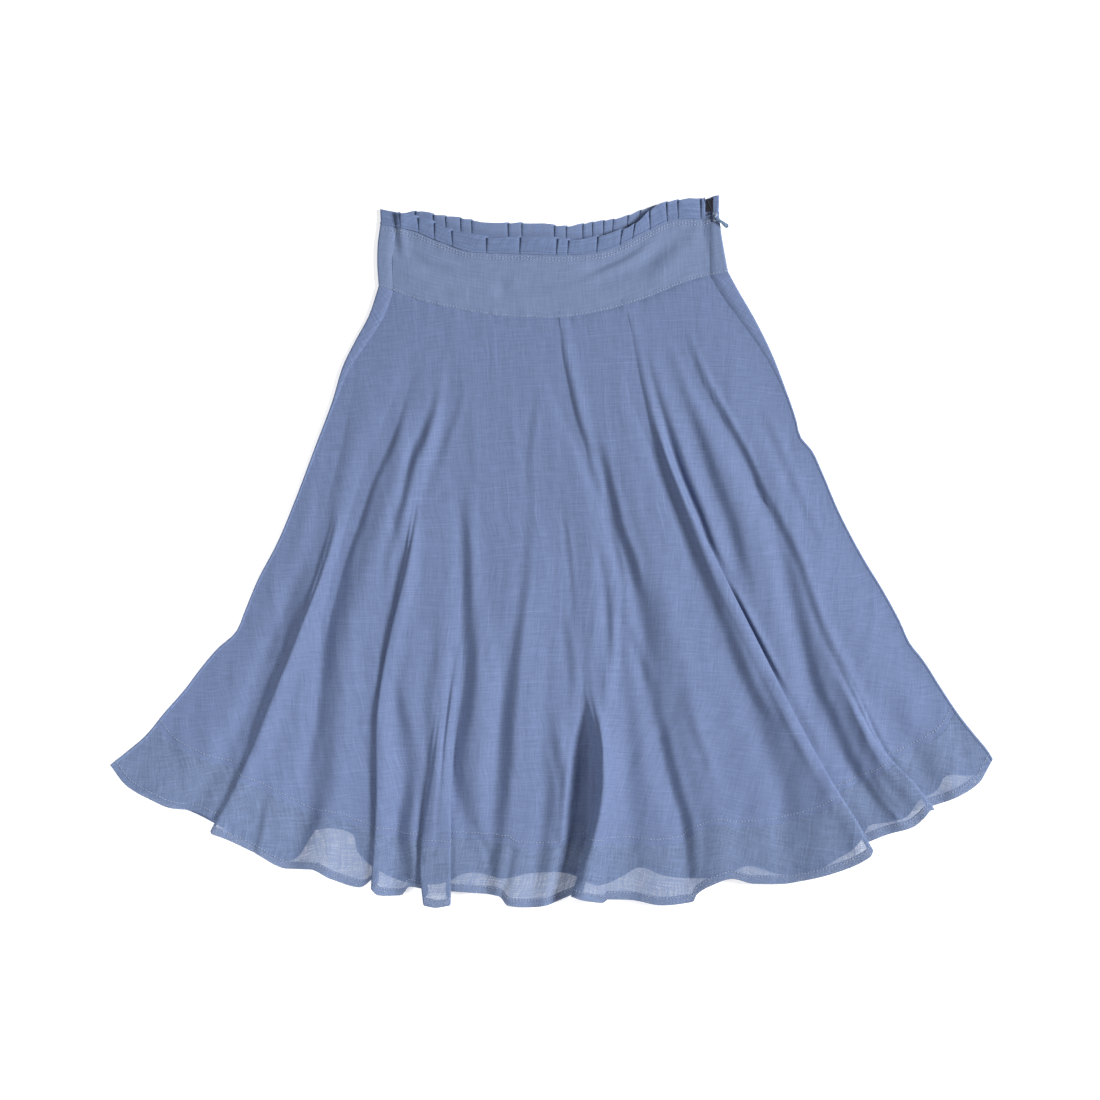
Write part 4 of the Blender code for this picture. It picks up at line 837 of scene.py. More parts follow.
def front_yoke_points(down):
    down = np.array(down, float)
    patch = Patch(YOKE_LEFT, YOKE_RIGHT, FRONT_WAIST, YOKE_SEAM)
    width = patch.width(down)
    left, right = yoke_seam_offsets(down)
    begin, end = left / width, 1 - right / width
    across = begin + (end - begin) * np.linspace(0, 1, YOKE_COLUMNS)[:, None]
    plan = patch.at(across, down[None, :])
    edge_distance = np.minimum(across, 1 - across) * width
    within = onset(edge_distance, *RELIEF_MARGIN) * onset(down * (1 - down), 0.0, RELIEF_SEAM_FADE)
    height = base_height(edge_distance, 0 * down)
    relief = yoke_relief(plan) + small_creases(plan, SMALL_YOKE_CREASES) + flank_rises(plan, YOKE_FLANKS)
    height = height + relief * within + flank_rises(plan, EDGE_FLANKS)
    points = np.dstack((plan, height))
    along = ring_lengths(points)
    fall = down[None, :] * YOKE_DEPTH
    share, size, seam_reach, waist_reach = YOKE_PUCKER
    pucker = SEAM_PUCKER[0] * share * ripple(along / size, 0 * along, YOKE_PUCKER_SEED)
    near = np.exp(-((YOKE_DEPTH - fall) / seam_reach) ** 2) + np.exp(-(fall / waist_reach) ** 2)
    fade = onset(edge_distance, *YOKE_FADE)
    points[..., 2] += (swells(along, fall, YOKE_WRINKLES) + pucker * near) * fade
    points[..., 2] += edge_step(plan) * (1 - down)[None, :] ** 2
    return points


def back_yoke_points(down):
    down = np.array(down, float)
    front = Patch(YOKE_LEFT, YOKE_RIGHT, FRONT_WAIST, YOKE_SEAM)
    back = Patch(YOKE_LEFT, YOKE_RIGHT, BACK_WAIST, YOKE_SEAM)
    width = front.width(down)
    left, right = yoke_seam_offsets(down)
    across, height, _ = wrapped_rings(BACK_COLUMNS, width, left, right, 0 * down)
    plan = blended(front.at(across, down[None, :]), back.at(across, down[None, :]), across, YOKE_BLEND)
    return np.dstack((plan, height))


def pleat_marks(patch, edges, begin, end):
    """Points of the pleats between two shares: share across, rise, and how far along the pleat."""
    shares = np.linspace(0, 1, REACH_READS)
    reach = patch.at(shares[:, None], np.array([[0.5]]))[:, 0, 0]
    places = [begin, *np.interp(edges, reach, shares), end]
    scale = reach[-1] - reach[0]
    marks = []
    for place, after in zip(places, places[1:]):
        size = after - place
        marks += [(place + min(at / scale, size * PLEAT_TURN_MOST), rise, at / scale / size)
                  for at, rise in PLEAT_TURN]
        marks += [(place + at * size, rise, at) for at, rise in PLEAT_FACE]
    return marks


def frill_wave(across, seed):
    """Uneven wander of a frill's top edge."""
    long_swell, short_swell = (ripple(across * count, 0 * across, seed + i)
                               for i, count in enumerate(FRILL_SWELLS))
    return FRILL_WAVE * (long_swell + 0.5 * short_swell)


def front_frill_points(rows):
    """Front frill, rows running from the waist seam at 0 to the top edge at 1."""
    rows = np.array(rows, float)
    down = 1 - rows
    patch = Patch(FRILL_LEFT, FRILL_RIGHT, FRONT_FRILL_TOP, FRONT_WAIST)
    width = patch.width(down)
    begin, end = LEFT_SEAM_TOP / width.mean(), 1 - FRONT_FRILL_END / width.mean()
    marks = pleat_marks(patch, FRONT_PLEATS, begin, end)
    across = np.array([mark[0] for mark in marks])[:, None] + 0 * rows[None, :]
    saw = np.array([mark[1] for mark in marks])[:, None]
    place = np.array([mark[2] for mark in marks])[:, None]
    plan = patch.at(across, down[None, :])
    plan[..., 1] += (0.5 - place) * FRILL_STEP * rows ** 2 + frill_wave(across, FRONT_FRILL_SEED) * rows ** 2
    edge_distance = np.minimum(across, 1 - across) * width
    height = base_height(edge_distance, 0 * down)
    height = height + saw * FRONT_PLEAT_HEIGHT * (PLEAT_BASE_SHARE + (1 - PLEAT_BASE_SHARE) * rows)
    uneven = ripple(across * PLEAT_SWELLS[0], PLEAT_SWELLS[1] * rows[None, :], PLEAT_SEED)
    height += PLEAT_SWELL_HEIGHT * uneven * rows[None, :]
    height += edge_step(plan) + flank_rises(plan, EDGE_FLANKS)
    return np.dstack((plan, height))


def back_frill_points(rows):
    """Back frill, which wraps round both fold edges."""
    rows = np.array(rows, float)
    down = 1 - rows
    front = Patch(FRILL_LEFT, FRILL_RIGHT, FRONT_FRILL_TOP, FRONT_WAIST)
    back = Patch(FRILL_LEFT, FRILL_RIGHT, BACK_FRILL_TOP, BACK_WAIST)
    width = front.width(down)
    left_share, right_share = BACK_PLEAT_ENDS
    first, last = LEFT_SEAM_TOP / width.mean() * left_share, 1 - BACK_FRILL_END / width.mean() * right_share
    marks = pleat_marks(back, BACK_PLEATS, first, last)[1:-1]
    across, height, _ = wrapped_rings(len(marks), width, LEFT_SEAM_TOP, BACK_FRILL_END, 0 * down)
    wrap = (len(across) - len(marks)) // 2
    lean = np.zeros_like(across)
    for i, (place, rise, at) in enumerate(marks):
        across[wrap + i] = place
        pleat = rise * BACK_PLEAT_HEIGHT * (PLEAT_BASE_SHARE + (1 - PLEAT_BASE_SHARE) * rows)
        inside = np.minimum(across[wrap + i], 1 - across[wrap + i]) * width
        height[wrap + i] += pleat * onset(inside, *PLEAT_MARGIN)
        lean[wrap + i] = (0.5 - at) * FRILL_STEP * rows ** 2
    plan = blended(front.at(across, down[None, :]), back.at(across, down[None, :]), across, FRILL_BLEND)
    plan[..., 1] += lean + frill_wave(across, BACK_FRILL_SEED) * rows ** 2
    return np.dstack((plan, height))


def normals(points):
    """Unit normals of a grid, to its face side."""
    across = np.gradient(points[..., :3], axis=0)
    down = np.gradient(points[..., :3], axis=1)
    n = np.cross(across, down)
    return n / np.maximum(np.linalg.norm(n, axis=-1, keepdims=True), 1e-9)


def with_cut(points, inner=None):
    """Add a piece's flat places: a straight strip, or flared round a centre from an inner radius."""
    along = ring_lengths(points)
    middle = points[len(points) // 2]
    fall = np.concatenate(([0.0], np.cumsum(np.linalg.norm(np.diff(middle, axis=0), axis=1))))[None, :]
    if inner is None:
        return np.dstack((points, along, -fall + 0 * along))
    radius = inner + fall
    return np.dstack((points, radius * np.sin(along / radius), -radius * np.cos(along / radius)))


def with_hem(grid, rings, drop, inward):
    """Turn the last rings of a grid under, as a narrow hem."""
    n = normals(grid) * inward
    edge = grid[:, -1:].copy()
    edge[..., :3] += n[:, -1:] * drop / 2
    turned = grid[:, -rings:][:, ::-1].copy()
    turned[..., :3] += n[:, -rings:][:, ::-1] * drop
    turned[..., 3:] = 2 * grid[:, -1:, 3:] - turned[..., 3:]
    pull_in = grid[:, -1:].copy()
    pull_in[..., :3] += (grid[:, -2:-1, :3] - grid[:, -1:, :3]) * HEM_PULL_IN
    return np.concatenate((grid[:, :-1], pull_in, edge, turned), axis=1)


def with_allowance(grid, reach, drop, inward, at_end=False):
    """Run a grid on past its seam, under the piece that it is sewn to."""
    if at_end:
        return with_allowance(grid[:, ::-1], reach, drop, -inward)[:, ::-1]
    n = normals(grid)[:, :1] * inward
    back = grid[:, :1] - grid[:, 1:2]
    unit = back / np.linalg.norm(back[..., :3], axis=-1, keepdims=True)
    rings = []
    for share in ALLOWANCE_RINGS:
        ring = grid[:, :1] + unit * reach * share
        ring[..., :3] += n * drop
        rings.append(ring)
    return np.concatenate(rings + [grid], axis=1)


def with_side_allowance(grid, reach, drop, inward):
    """Run both ends of a grid's rings on under the next piece."""
    turned = grid.swapaxes(0, 1)
    turned = with_allowance(turned, reach, drop, -inward)
    turned = with_allowance(turned, reach, drop, -inward, at_end=True)
    return turned.swapaxes(0, 1)


def row_along(grid, distance, lift, from_end):
    """A line across a grid, at a distance from its first or last ring, lifted to its face side."""
    points = grid[..., :3] + normals(grid) * lift
    if from_end:
        points = points[:, ::-1]
    fall = np.cumsum(np.linalg.norm(np.diff(points, axis=1), axis=2), axis=1)
    fall = np.hstack((np.zeros((len(points), 1)), fall))
    line = []
    for column, falls in zip(points, fall):
        line.append([np.interp(distance, falls, column[:, axis]) for axis in range(3)])
    return np.array(line)


def to_metres(points):
    """Places and heights in the frame's metres."""
    points = np.asarray(points, float)
    return np.stack(((points[..., 0] - TABLE_CENTRE[0]) * MM, (TABLE_CENTRE[1] - points[..., 1]) * MM,
                     points[..., 2] * MM), axis=-1)


def shell_mesh(name, grid, thickness):
    """A closed thin shell of cloth round a grid's middle surface, with its cut as a UV map."""
    columns, rings = grid.shape[:2]
    offset = normals(grid) * thickness / 2
    faces_up = to_metres(grid[..., :3] + offset).reshape(-1, 3)
    faces_down = to_metres(grid[..., :3] - offset).reshape(-1, 3)
    count = columns * rings
    index = np.arange(count).reshape(columns, rings)
    a, b = index[:-1, :-1].ravel(), index[:-1, 1:].ravel()
    c, d = index[1:, 1:].ravel(), index[1:, :-1].ravel()
    quads = [np.stack((a, b, c, d), axis=1), np.stack((a, d, c, b), axis=1) + count]
    border = np.concatenate((index[0, :-1], index[:-1, -1], index[-1, :0:-1], index[:0:-1, 0]))
    ahead = np.roll(border, -1)
    quads.append(np.stack((ahead, border, border + count, ahead + count), axis=1))
    mesh = bpy.data.meshes.new(name)
    mesh.from_pydata(np.concatenate((faces_up, faces_down)).tolist(), [], np.concatenate(quads).tolist())
    places = np.tile(grid[..., 3:].reshape(-1, 2) * MM, (2, 1))
    corners = np.zeros(len(mesh.loops), int)
    mesh.loops.foreach_get("vertex_index", corners)
    cut = mesh.uv_layers.new(name="cut")
    cut.data.foreach_set("uv", places[corners].astype(np.float32).ravel())
    mesh.shade_smooth()
    mesh.set_sharp_from_angle(angle=math.radians(CLOTH_SHARP))
    return mesh


def add_piece(name, mesh, material, body=GARMENT, replaces=()):
    """Put a finished mesh in the scene, as a piece that rides on a body."""
    mesh.materials.clear()
    mesh.materials.append(material)
    piece = bpy.data.objects.new(name, mesh)
    bpy.context.scene.collection.objects.link(piece)
    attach(piece, body)
    if replaces:
        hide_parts(*replaces)
    return piece


def add_cloth(name, grid, material, replaces):
    """Add a sheet of cloth that stands for its plain solid."""
    cloth = bpy.context.scene.skirt_cloth
    shell = shell_mesh(name, grid, cloth.thickness / MM)
    piece = add_piece(name, shell, material, replaces=(replaces,))
    return piece


# Sizes of the voile's threads and slubs across and along them, in metres, and of its broad clouds
WARP, WEFT, SLUBS, CLOUDS = (0.0016, 0.020), (0.022, 0.0015), ((0.0022, 0.085), (0.095, 0.0021)), (0.16, 0.2)
# Where a slub begins and how strong it is, and how much the clouds change the colour
SLUB_LIMIT, SLUB_GAIN, CLOUD_SHADE = 0.60, 1.6, 0.10
# Least and most that a face of the cloth hides
LEAST_COVER, MOST_COVER = 0.28, 0.97


def add_node(material, kind, **values):
    """Add a node to a material and set its plain values."""
    node = material.node_tree.nodes.new(kind)
    for name, value in values.items():
        setattr(node, name, value)
    return node


def set_inputs(node, **values):
    """Set a node's sockets, with _ in their names for a space."""
    for name, value in values.items():
        node.inputs[name.replace("_", " ")].default_value = value


def math_node(material, operation, *values):
    """Add a sum or product of numbers or outputs."""
    node = add_node(material, "ShaderNodeMath", operation=operation)
    for socket, value in zip(node.inputs, values):
        if isinstance(value, (int, float)):
            socket.default_value = value
        else:
            material.node_tree.links.new(value, socket)
    return node.outputs[0]


def object_place(material):
    return add_node(material, "ShaderNodeTexCoord").outputs["Object"]


def thread_noise(material, source, across, along, detail=2.0):
    """Long thin streaks of uneven threads, of a size across and along them in metres."""
    links = material.node_tree.links
    mapping = add_node(material, "ShaderNodeMapping")
    set_inputs(mapping, Scale=(1 / across, 1 / along, 1.0))
    links.new(source, mapping.inputs["Vector"])
    noise = add_node(material, "ShaderNodeTexNoise")
    set_inputs(noise, Scale=1.0, Detail=detail, Roughness=0.6)
    links.new(mapping.outputs["Vector"], noise.inputs["Vector"])
    return noise.outputs["Fac"]


def new_material(name, roughness, **values):
    material = bpy.data.materials.new(name)
    material.use_nodes = True
    shader = material.node_tree.nodes["Principled BSDF"]
    set_inputs(shader, Roughness=roughness, **values)
    return material, shader


def add_ramp(material, shader, source, low, high, places=(0.0, 1.0)):
    """Colour a shader from one colour to another by a source."""
    ramp = add_node(material, "ShaderNodeValToRGB")
    for element, place, colour in zip(ramp.color_ramp.elements, places, (low, high)):
        element.position = place
        element.color = (*colour, 1.0)
    material.node_tree.links.new(source, ramp.inputs["Fac"])
    material.node_tree.links.new(ramp.outputs["Color"], shader.inputs["Base Color"])


def add_bump(material, shader, source, strength, distance):
    bump = add_node(material, "ShaderNodeBump")
    set_inputs(bump, Strength=strength, Distance=distance)
    material.node_tree.links.new(source, bump.inputs["Height"])
    material.node_tree.links.new(bump.outputs["Normal"], shader.inputs["Normal"])


def dimmed(colour, share):
    return tuple(share * c for c in colour)


def voile(name, colour, cover, slub, open_weave):
    """Plain-woven voile with uneven threads, a little see-through between them."""
    material, shader = new_material(
        name, 0.82, Sheen_Weight=0.12, Sheen_Roughness=0.45, Specular_IOR_Level=0.25)
    links = material.node_tree.links
    cut = add_node(material, "ShaderNodeUVMap", uv_map="cut").outputs["UV"]
    warp, weft = (thread_noise(material, cut, *size) for size in (WARP, WEFT))
    threads = math_node(material, "ADD", warp, weft)
    threads = math_node(material, "SUBTRACT", threads, 1.0)
    slubs = []
    for size in SLUBS:
        thick = math_node(material, "SUBTRACT", thread_noise(material, cut, *size, 1.0), SLUB_LIMIT)
        slubs.append(math_node(material, "MULTIPLY", math_node(material, "MAXIMUM", thick, 0.0), SLUB_GAIN))
    threads = math_node(material, "ADD", threads, math_node(material, "ADD", *slubs))
    cloud = thread_noise(material, object_place(material), *CLOUDS, 3.0)
    cloud = math_node(material, "SUBTRACT", cloud, 0.5)
    shade = math_node(material, "MULTIPLY_ADD", threads, slub, 1.0)
    shade = math_node(material, "ADD", shade, math_node(material, "MULTIPLY", cloud, CLOUD_SHADE))
    tint = add_node(material, "ShaderNodeMix", data_type="RGBA", blend_type="MULTIPLY")
    set_inputs(tint, Factor=1.0, A=(*colour, 1.0))
    combine = add_node(material, "ShaderNodeCombineColor")
    for channel in ("Red", "Green", "Blue"):
        links.new(shade, combine.inputs[channel])
    links.new(combine.outputs["Color"], tint.inputs["B"])
    links.new(tint.outputs["Result"], shader.inputs["Base Color"])
    gaps = math_node(material, "MULTIPLY", threads, open_weave)
    alpha = math_node(material, "ADD", gaps, cover)
    alpha = math_node(material, "MINIMUM", math_node(material, "MAXIMUM", alpha, LEAST_COVER), MOST_COVER)
    links.new(alpha, shader.inputs["Alpha"])
    add_bump(material, shader, threads, 0.35, 0.00025)
    return material


def thread_material(name, colour):
    """Twisted sewing thread."""
    material, shader = new_material(name, 0.6, Sheen_Weight=0.3)
    twist = thread_noise(material, object_place(material), 0.0012, 0.0012, 1.0)
    add_ramp(material, shader, twist, dimmed(colour, 0.75), colour)
    return material


def enamel(name, colour, wear):
    """Painted zip metal, a little worn."""
    material, shader = new_material(name, 0.34, Metallic=0.35, Coat_Weight=0.3)
    scuff = thread_noise(material, object_place(material), 0.0016, 0.0024, 4.0)
    add_ramp(material, shader, scuff, colour, wear, (0.35, 0.75))
    rough = math_node(material, "MULTIPLY_ADD", scuff, 0.3, 0.22)
    material.node_tree.links.new(rough, shader.inputs["Roughness"])
    return material


def tape_material(name, colour):
    """Woven zip tape with its rib."""
    material, shader = new_material(name, 0.75)
    rib = add_node(material, "ShaderNodeTexWave", wave_type="BANDS", bands_direction="Y")
    set_inputs(rib, Scale=900.0, Distortion=0.6)
    material.node_tree.links.new(object_place(material), rib.inputs["Vector"])
    add_ramp(material, shader, rib.outputs["Fac"], dimmed(colour, 0.5), colour)
    add_bump(material, shader, rib.outputs["Fac"], 0.5, 0.0002)
    return material


def plain_surface(name, colour, roughness, glow):
    """Matt painted card for the floor."""
    material, shader = new_material(
        name, roughness, Emission_Color=(1.0, 1.0, 1.0, 1.0), Emission_Strength=glow)
    grain = thread_noise(material, object_place(material), 0.4, 0.4)
    add_ramp(material, shader, grain, dimmed(colour, 0.985), colour)
    return material


def stitch_tree():
    """Geometry nodes that lay short rounded stitches, or other small links, along lines."""
    tree = bpy.data.node_groups.get("Stitch rows")
    if tree:
        return tree
    tree = bpy.data.node_groups.new("Stitch rows", "GeometryNodeTree")
    tree.interface.new_socket("Lines", in_out="INPUT", socket_type="NodeSocketGeometry")
    for name in ("Pitch", "Length", "Width", "Wander"):
        tree.interface.new_socket(name, in_out="INPUT", socket_type="NodeSocketFloat")
    tree.interface.new_socket("Finish", in_out="INPUT", socket_type="NodeSocketMaterial")
    tree.interface.new_socket("Stitches", in_out="OUTPUT", socket_type="NodeSocketGeometry")

    def add(kind, settings=(), **inputs):
        """Add a node with its settings, and with a number or another node's output at each input."""
        node = tree.nodes.new(kind)
        for name, value in dict(settings).items():
            setattr(node, name, value)
        for name, value in inputs.items():
            if isinstance(value, bpy.types.NodeSocket):
                tree.links.new(value, node.inputs[name])
            else:
                node.inputs[name].default_value = value
        return node.outputs

    given = add("NodeGroupInput")
    line = add("GeometryNodeMeshToCurve", Mesh=given["Lines"])["Curve"]
    marks = add("GeometryNodeResampleCurve", {"mode": "LENGTH"}, Curve=line, Length=given["Pitch"])["Curve"]
    bead = add("GeometryNodeMeshUVSphere", Segments=6, Rings=4, Radius=0.5)["Mesh"]
    size = add("ShaderNodeCombineXYZ", X=given["Width"], Y=given["Width"], Z=given["Length"])["Vector"]
    bead = add("GeometryNodeTransform", Geometry=bead, Scale=size)["Geometry"]
    tangent = add("GeometryNodeInputTangent")["Tangent"]
    turn = add("FunctionNodeAlignRotationToVector", {"axis": "Z"}, Vector=tangent)["Rotation"]
    uneven = add("FunctionNodeRandomValue", {"data_type": "FLOAT"}, Min=0.72, Max=1.12, Seed=3)[1]
    shift = add("FunctionNodeRandomValue", {"data_type": "FLOAT_VECTOR"}, Min=(-1.0, -1.0, 0.0),
                Max=(1.0, 1.0, 0.0), Seed=8)["Value"]
    moved = add("ShaderNodeVectorMath", {"operation": "SCALE"}, Vector=shift, Scale=given["Wander"])
    marks = add("GeometryNodeSetPosition", Geometry=marks, Offset=moved["Vector"])["Geometry"]
    laid = add("GeometryNodeInstanceOnPoints", Points=marks, Instance=bead, Rotation=turn, Scale=uneven)
    laid = add("GeometryNodeRealizeInstances", Geometry=laid["Instances"])["Geometry"]
    laid = add("GeometryNodeSetMaterial", Geometry=laid, Material=given["Finish"])["Geometry"]
    add("NodeGroupOutput", Stitches=laid)
    return tree


def laid_along(name, lines, material, slot, pitch, length, width, wander):
    """Run the stitch nodes over lines of table points, and keep the result as a plain mesh."""
    corners, edges = [], []
    for line in lines:
        places = to_metres(line)
        first = len(corners)
        corners += places.tolist()
        edges += [(first + i, first + i + 1) for i in range(len(places) - 1)]
    mesh = bpy.data.meshes.new(name)
    mesh.from_pydata(corners, edges, [])
    guide = bpy.data.objects.new(name + "_lines", mesh)
    bpy.context.scene.collection.objects.link(guide)
    step = guide.modifiers.new("Stitch rows", "NODES")
    tree = stitch_tree()
    values = {"Pitch": pitch, "Length": length, "Width": width, "Wander": wander, "Finish": material}
    step.node_group = tree
    for socket in tree.interface.items_tree:
        if socket.name in values:
            step[socket.identifier] = values[socket.name]
    evaluated = guide.evaluated_get(bpy.context.evaluated_depsgraph_get())
    laid = bpy.data.meshes.new_from_object(evaluated)
    laid.name = name
    laid.shade_smooth()
    bpy.data.objects.remove(guide, do_unlink=True)
    if not laid.polygons:
        raise RuntimeError(f"{name} has no stitches")
    return add_piece(name, laid, material)


class Model:
    """The grids of the cloth, made once and read by each operator."""

    grids = {}

    @classmethod
    def grid(cls, name):
        if not cls.grids:
            cls.grids = build_grids(bpy.context.scene.skirt_cloth)
        return cls.grids[name]


def build_grids(cloth):
    """Middle surfaces of all the cloth pieces, with their hems and seam allowances."""
    front = FrontSkirt()
    drop, allowance = cloth.layer_gap / MM, cloth.allowance / MM
    inner, outer = cloth.waist_radius / MM, (cloth.waist_radius + FLOUNCE_RADIUS) / MM
    bare = {
        "front_panel": with_cut(front.points(PANEL_ROWS), inner),
        "front_flounce": with_cut(front.points(FLOUNCE_ROWS), outer),
        "back_panel": with_cut(back_skirt_points(front, BACK_PANEL_ROWS), inner),
        "back_flounce": with_cut(back_skirt_points(front, FLOUNCE_ROWS), outer),
        "front_yoke": with_cut(front_yoke_points(YOKE_ROWS)),
        "back_yoke": with_cut(back_yoke_points(YOKE_ROWS)),
        "front_frill": with_cut(front_frill_points(FRILL_ROWS)),
        "back_frill": with_cut(back_frill_points(FRILL_ROWS)),
    }
    grids = {"bare": bare, **bare}
    for side, inward, frill_drop in (("front", -1, drop * FRONT_FRILL_DROP), ("back", 1, drop)):
        panel, flounce, frill = side + "_panel", side + "_flounce", side + "_frill"
        hemmed = with_hem(bare[flounce], HEM_RINGS, drop * HEM_GAP, inward)
        grids[panel] = with_allowance(bare[panel], allowance, drop, inward)
        grids[flounce] = with_allowance(hemmed, allowance, drop, inward)
        grids[frill] = with_allowance(bare[frill], allowance * FRILL_ALLOWANCE, frill_drop, inward)
    for name in ("back_panel", "back_flounce", "back_yoke"):
        grids[name] = with_side_allowance(grids[name], SIDE_ALLOWANCE, drop, 1)
    return grids


def cloth_material(name, colour, cover, calm):
    """The voile of a group of pieces, with its threads less marked where it is doubled."""
    cloth = bpy.context.scene.skirt_cloth
    found = bpy.data.materials.get(name)
    return found or voile(name, colour, cover, cloth.slub * calm, cloth.open_weave * calm)


def number_setting(name, description, default, **kind):
    return bpy.props.FloatProperty(name=name, description=description, default=default, **kind)


def length_setting(name, description, default):
    return number_setting(name, description, default, unit="LENGTH")


def share_setting(name, description, default):
    return number_setting(name, description, default, subtype="FACTOR")


def colour_setting(name, description, default):
    return bpy.props.FloatVectorProperty(
        name=name, description=description, default=default, subtype="COLOR")


class ClothSettings(bpy.types.PropertyGroup):
    """Sizes and colours of the cloth"""

    thickness: length_setting("Cloth thickness", "Thickness of one layer", 0.00035)
    layer_gap: length_setting("Layer gap", "Distance of a turned-under edge from its layer", 0.0007)
    allowance: length_setting("Seam allowance", "How far a piece runs on under its seam", 0.0065)
    waist_radius: length_setting("Inner radius", "Inner radius of the panels' cut", 0.280)
    slub: share_setting("Slub", "How much uneven threads change the colour", 0.30)
    open_weave: share_setting("Open weave", "How much the gaps between threads let through", 1.05)
    cover: share_setting("Flounce cover", "How much each face of the front flounce hides", 0.56)
    panel_cover: share_setting("Panel cover", "How much each face of the front panel hides", 0.66)
    yoke_cover: share_setting("Yoke cover", "How much each face of the doubled yoke hides", 0.76)
    back_cover: share_setting("Back cover", "How much each face of the back's cloth hides", 0.74)
    frill_cover: share_setting("Frill cover", "How much each face of a folded frill hides", 0.84)
    panel_colour: colour_setting("Panels", "Colour of the panels", (0.186, 0.249, 0.440))
    flounce_colour: colour_setting("Flounces", "Colour of the flounces", (0.190, 0.256, 0.430))
    yoke_colour: colour_setting("Yoke", "Colour of the yoke", (0.203, 0.268, 0.442))
    frill_colour: colour_setting("Frills", "Colour of the frills", (0.162, 0.222, 0.392))


class StitchSettings(bpy.types.PropertyGroup):
    """Sizes and colour of the stitching"""

    pitch: length_setting("Pitch", "Distance from one stitch to the next", 0.0031)
    length: length_setting("Stitch length", "Length of the thread that shows", 0.0023)
    width: length_setting("Thread width", "Thickness of the thread", 0.00075)
    colour: colour_setting("Thread", "Colour of the thread", (0.38, 0.45, 0.62))


class StageSettings(bpy.types.PropertyGroup):
    """Camera and light"""

    camera_height: length_setting("Camera height", "Height of the camera above the table", 3.0)
    view_width: length_setting("View width", "Width of table that the picture takes in", 1.1)
    key_power: number_setting("Key light", "Power of the large soft light", 352.0, unit="POWER")
    fill_power: number_setting("Fill light", "Power of the light from the other side", 5.2, unit="POWER")
    room: number_setting("Room light", "Strength of the light from all round", 0.165)


# Sheets of cloth by group, back before front: name of the piece, its grid, its slot, its solid, how it is
# held, what it rests on, its material, and its settings for colour, cover and how calm its threads look
Sheet = namedtuple("Sheet", "name grid slot solid held rests_on material tint cover calm")
SHEETS = {
    "skirt.panels": (
        Sheet("back_panel", "back_panel", "panel_voile", "back_skirt", "laid", (),
              "back_panel_voile_cloth", "panel_colour", "back_cover", 0.5),
        Sheet("front_panel", "front_panel", "panel_voile", "front_skirt", "laid", ("back_panel",),
              "panel_voile_cloth", "panel_colour", "panel_cover", 0.4)),
    "skirt.flounces": (
        Sheet("back_flounce_cloth", "back_flounce", "flounce_voile", "back_flounce", "laid", (),
              "back_flounce_voile_cloth", "flounce_colour", "back_cover", 0.5),
        Sheet("front_flounce_cloth", "front_flounce", "flounce_voile", "front_flounce", "laid",
              ("back_flounce_cloth",), "flounce_voile_cloth", "flounce_colour", "cover", 0.6)),
    "skirt.yokes": (
        Sheet("back_yoke_cloth", "back_yoke", "yoke_voile", "back_yoke", "laid", (),
              "yoke_voile_cloth", "yoke_colour", "yoke_cover", 0.3),
        Sheet("front_yoke_cloth", "front_yoke", "yoke_voile", "front_yoke", "laid", ("back_yoke_cloth",),
              "yoke_voile_cloth", "yoke_colour", "yoke_cover", 0.3)),
    "skirt.frills": (
        Sheet("back_frill_cloth", "back_frill", "frill_voile", "back_frill", "gathered", (),
              "frill_voile_cloth", "frill_colour", "frill_cover", 0.5),
        Sheet("front_frill_cloth", "front_frill", "frill_voile", "front_frill", "gathered",
              ("back_frill_cloth",), "frill_voile_cloth", "frill_colour", "frill_cover", 0.5)),
}


class ClothGroup:
    """Adds the sheets of one group"""

    def execute(self, context):
        cloth = context.scene.skirt_cloth
        for sheet in SHEETS[self.cloth_group]:
            tint, cover = getattr(cloth, sheet.tint), getattr(cloth, sheet.cover)
            material = cloth_material(sheet.material, tint, cover, sheet.calm)
            add_cloth(sheet.name, Model.grid(sheet.grid), material, sheet.solid)
        return {"FINISHED"}


class SKIRT_OT_panels(ClothGroup, bpy.types.Operator):
    """Make the front and back panels"""

    bl_idname = cloth_group = "skirt.panels"
    bl_label = "Panels"


class SKIRT_OT_flounces(ClothGroup, bpy.types.Operator):
    """Make the hemmed flounces along the bottom of the panels"""

    bl_idname = cloth_group = "skirt.flounces"
    bl_label = "Flounces"


class SKIRT_OT_yokes(ClothGroup, bpy.types.Operator):
    """Make the hip yoke, front and back"""

    bl_idname = cloth_group = "skirt.yokes"
    bl_label = "Yoke"


class SKIRT_OT_frills(ClothGroup, bpy.types.Operator):
    """Make the pleated frills at the waist"""

    bl_idname = cloth_group = "skirt.frills"
    bl_label = "Frills"


class SKIRT_OT_stitching(bpy.types.Operator):
    """Sew the rows of stitches along the waist, the yoke seam, the flounce seams and the hems"""

    bl_idname = "skirt.stitching"
    bl_label = "Stitching"

    def execute(self, context):
        cloth, stitch = context.scene.skirt_cloth, context.scene.skirt_stitch
        bare = Model.grid("bare")
        proud = (cloth.thickness / 2 + stitch.width * THREAD_PROUD) / MM
        thread = thread_material("sewing_thread", stitch.colour)
        sizes = (stitch.pitch, stitch.length, stitch.width, stitch.width * THREAD_WANDER)
        for row in STITCH_ROWS:
            lines = [row_along(bare["front_" + row.part], distance, proud, row.from_end)
                     for distance in row.front]
            lines += [row_along(bare["back_" + row.part], distance, -proud, row.from_end)
                      for distance in row.back]
            laid_along(row.name, lines, thread, row.slot, *sizes)
        return {"FINISHED"}


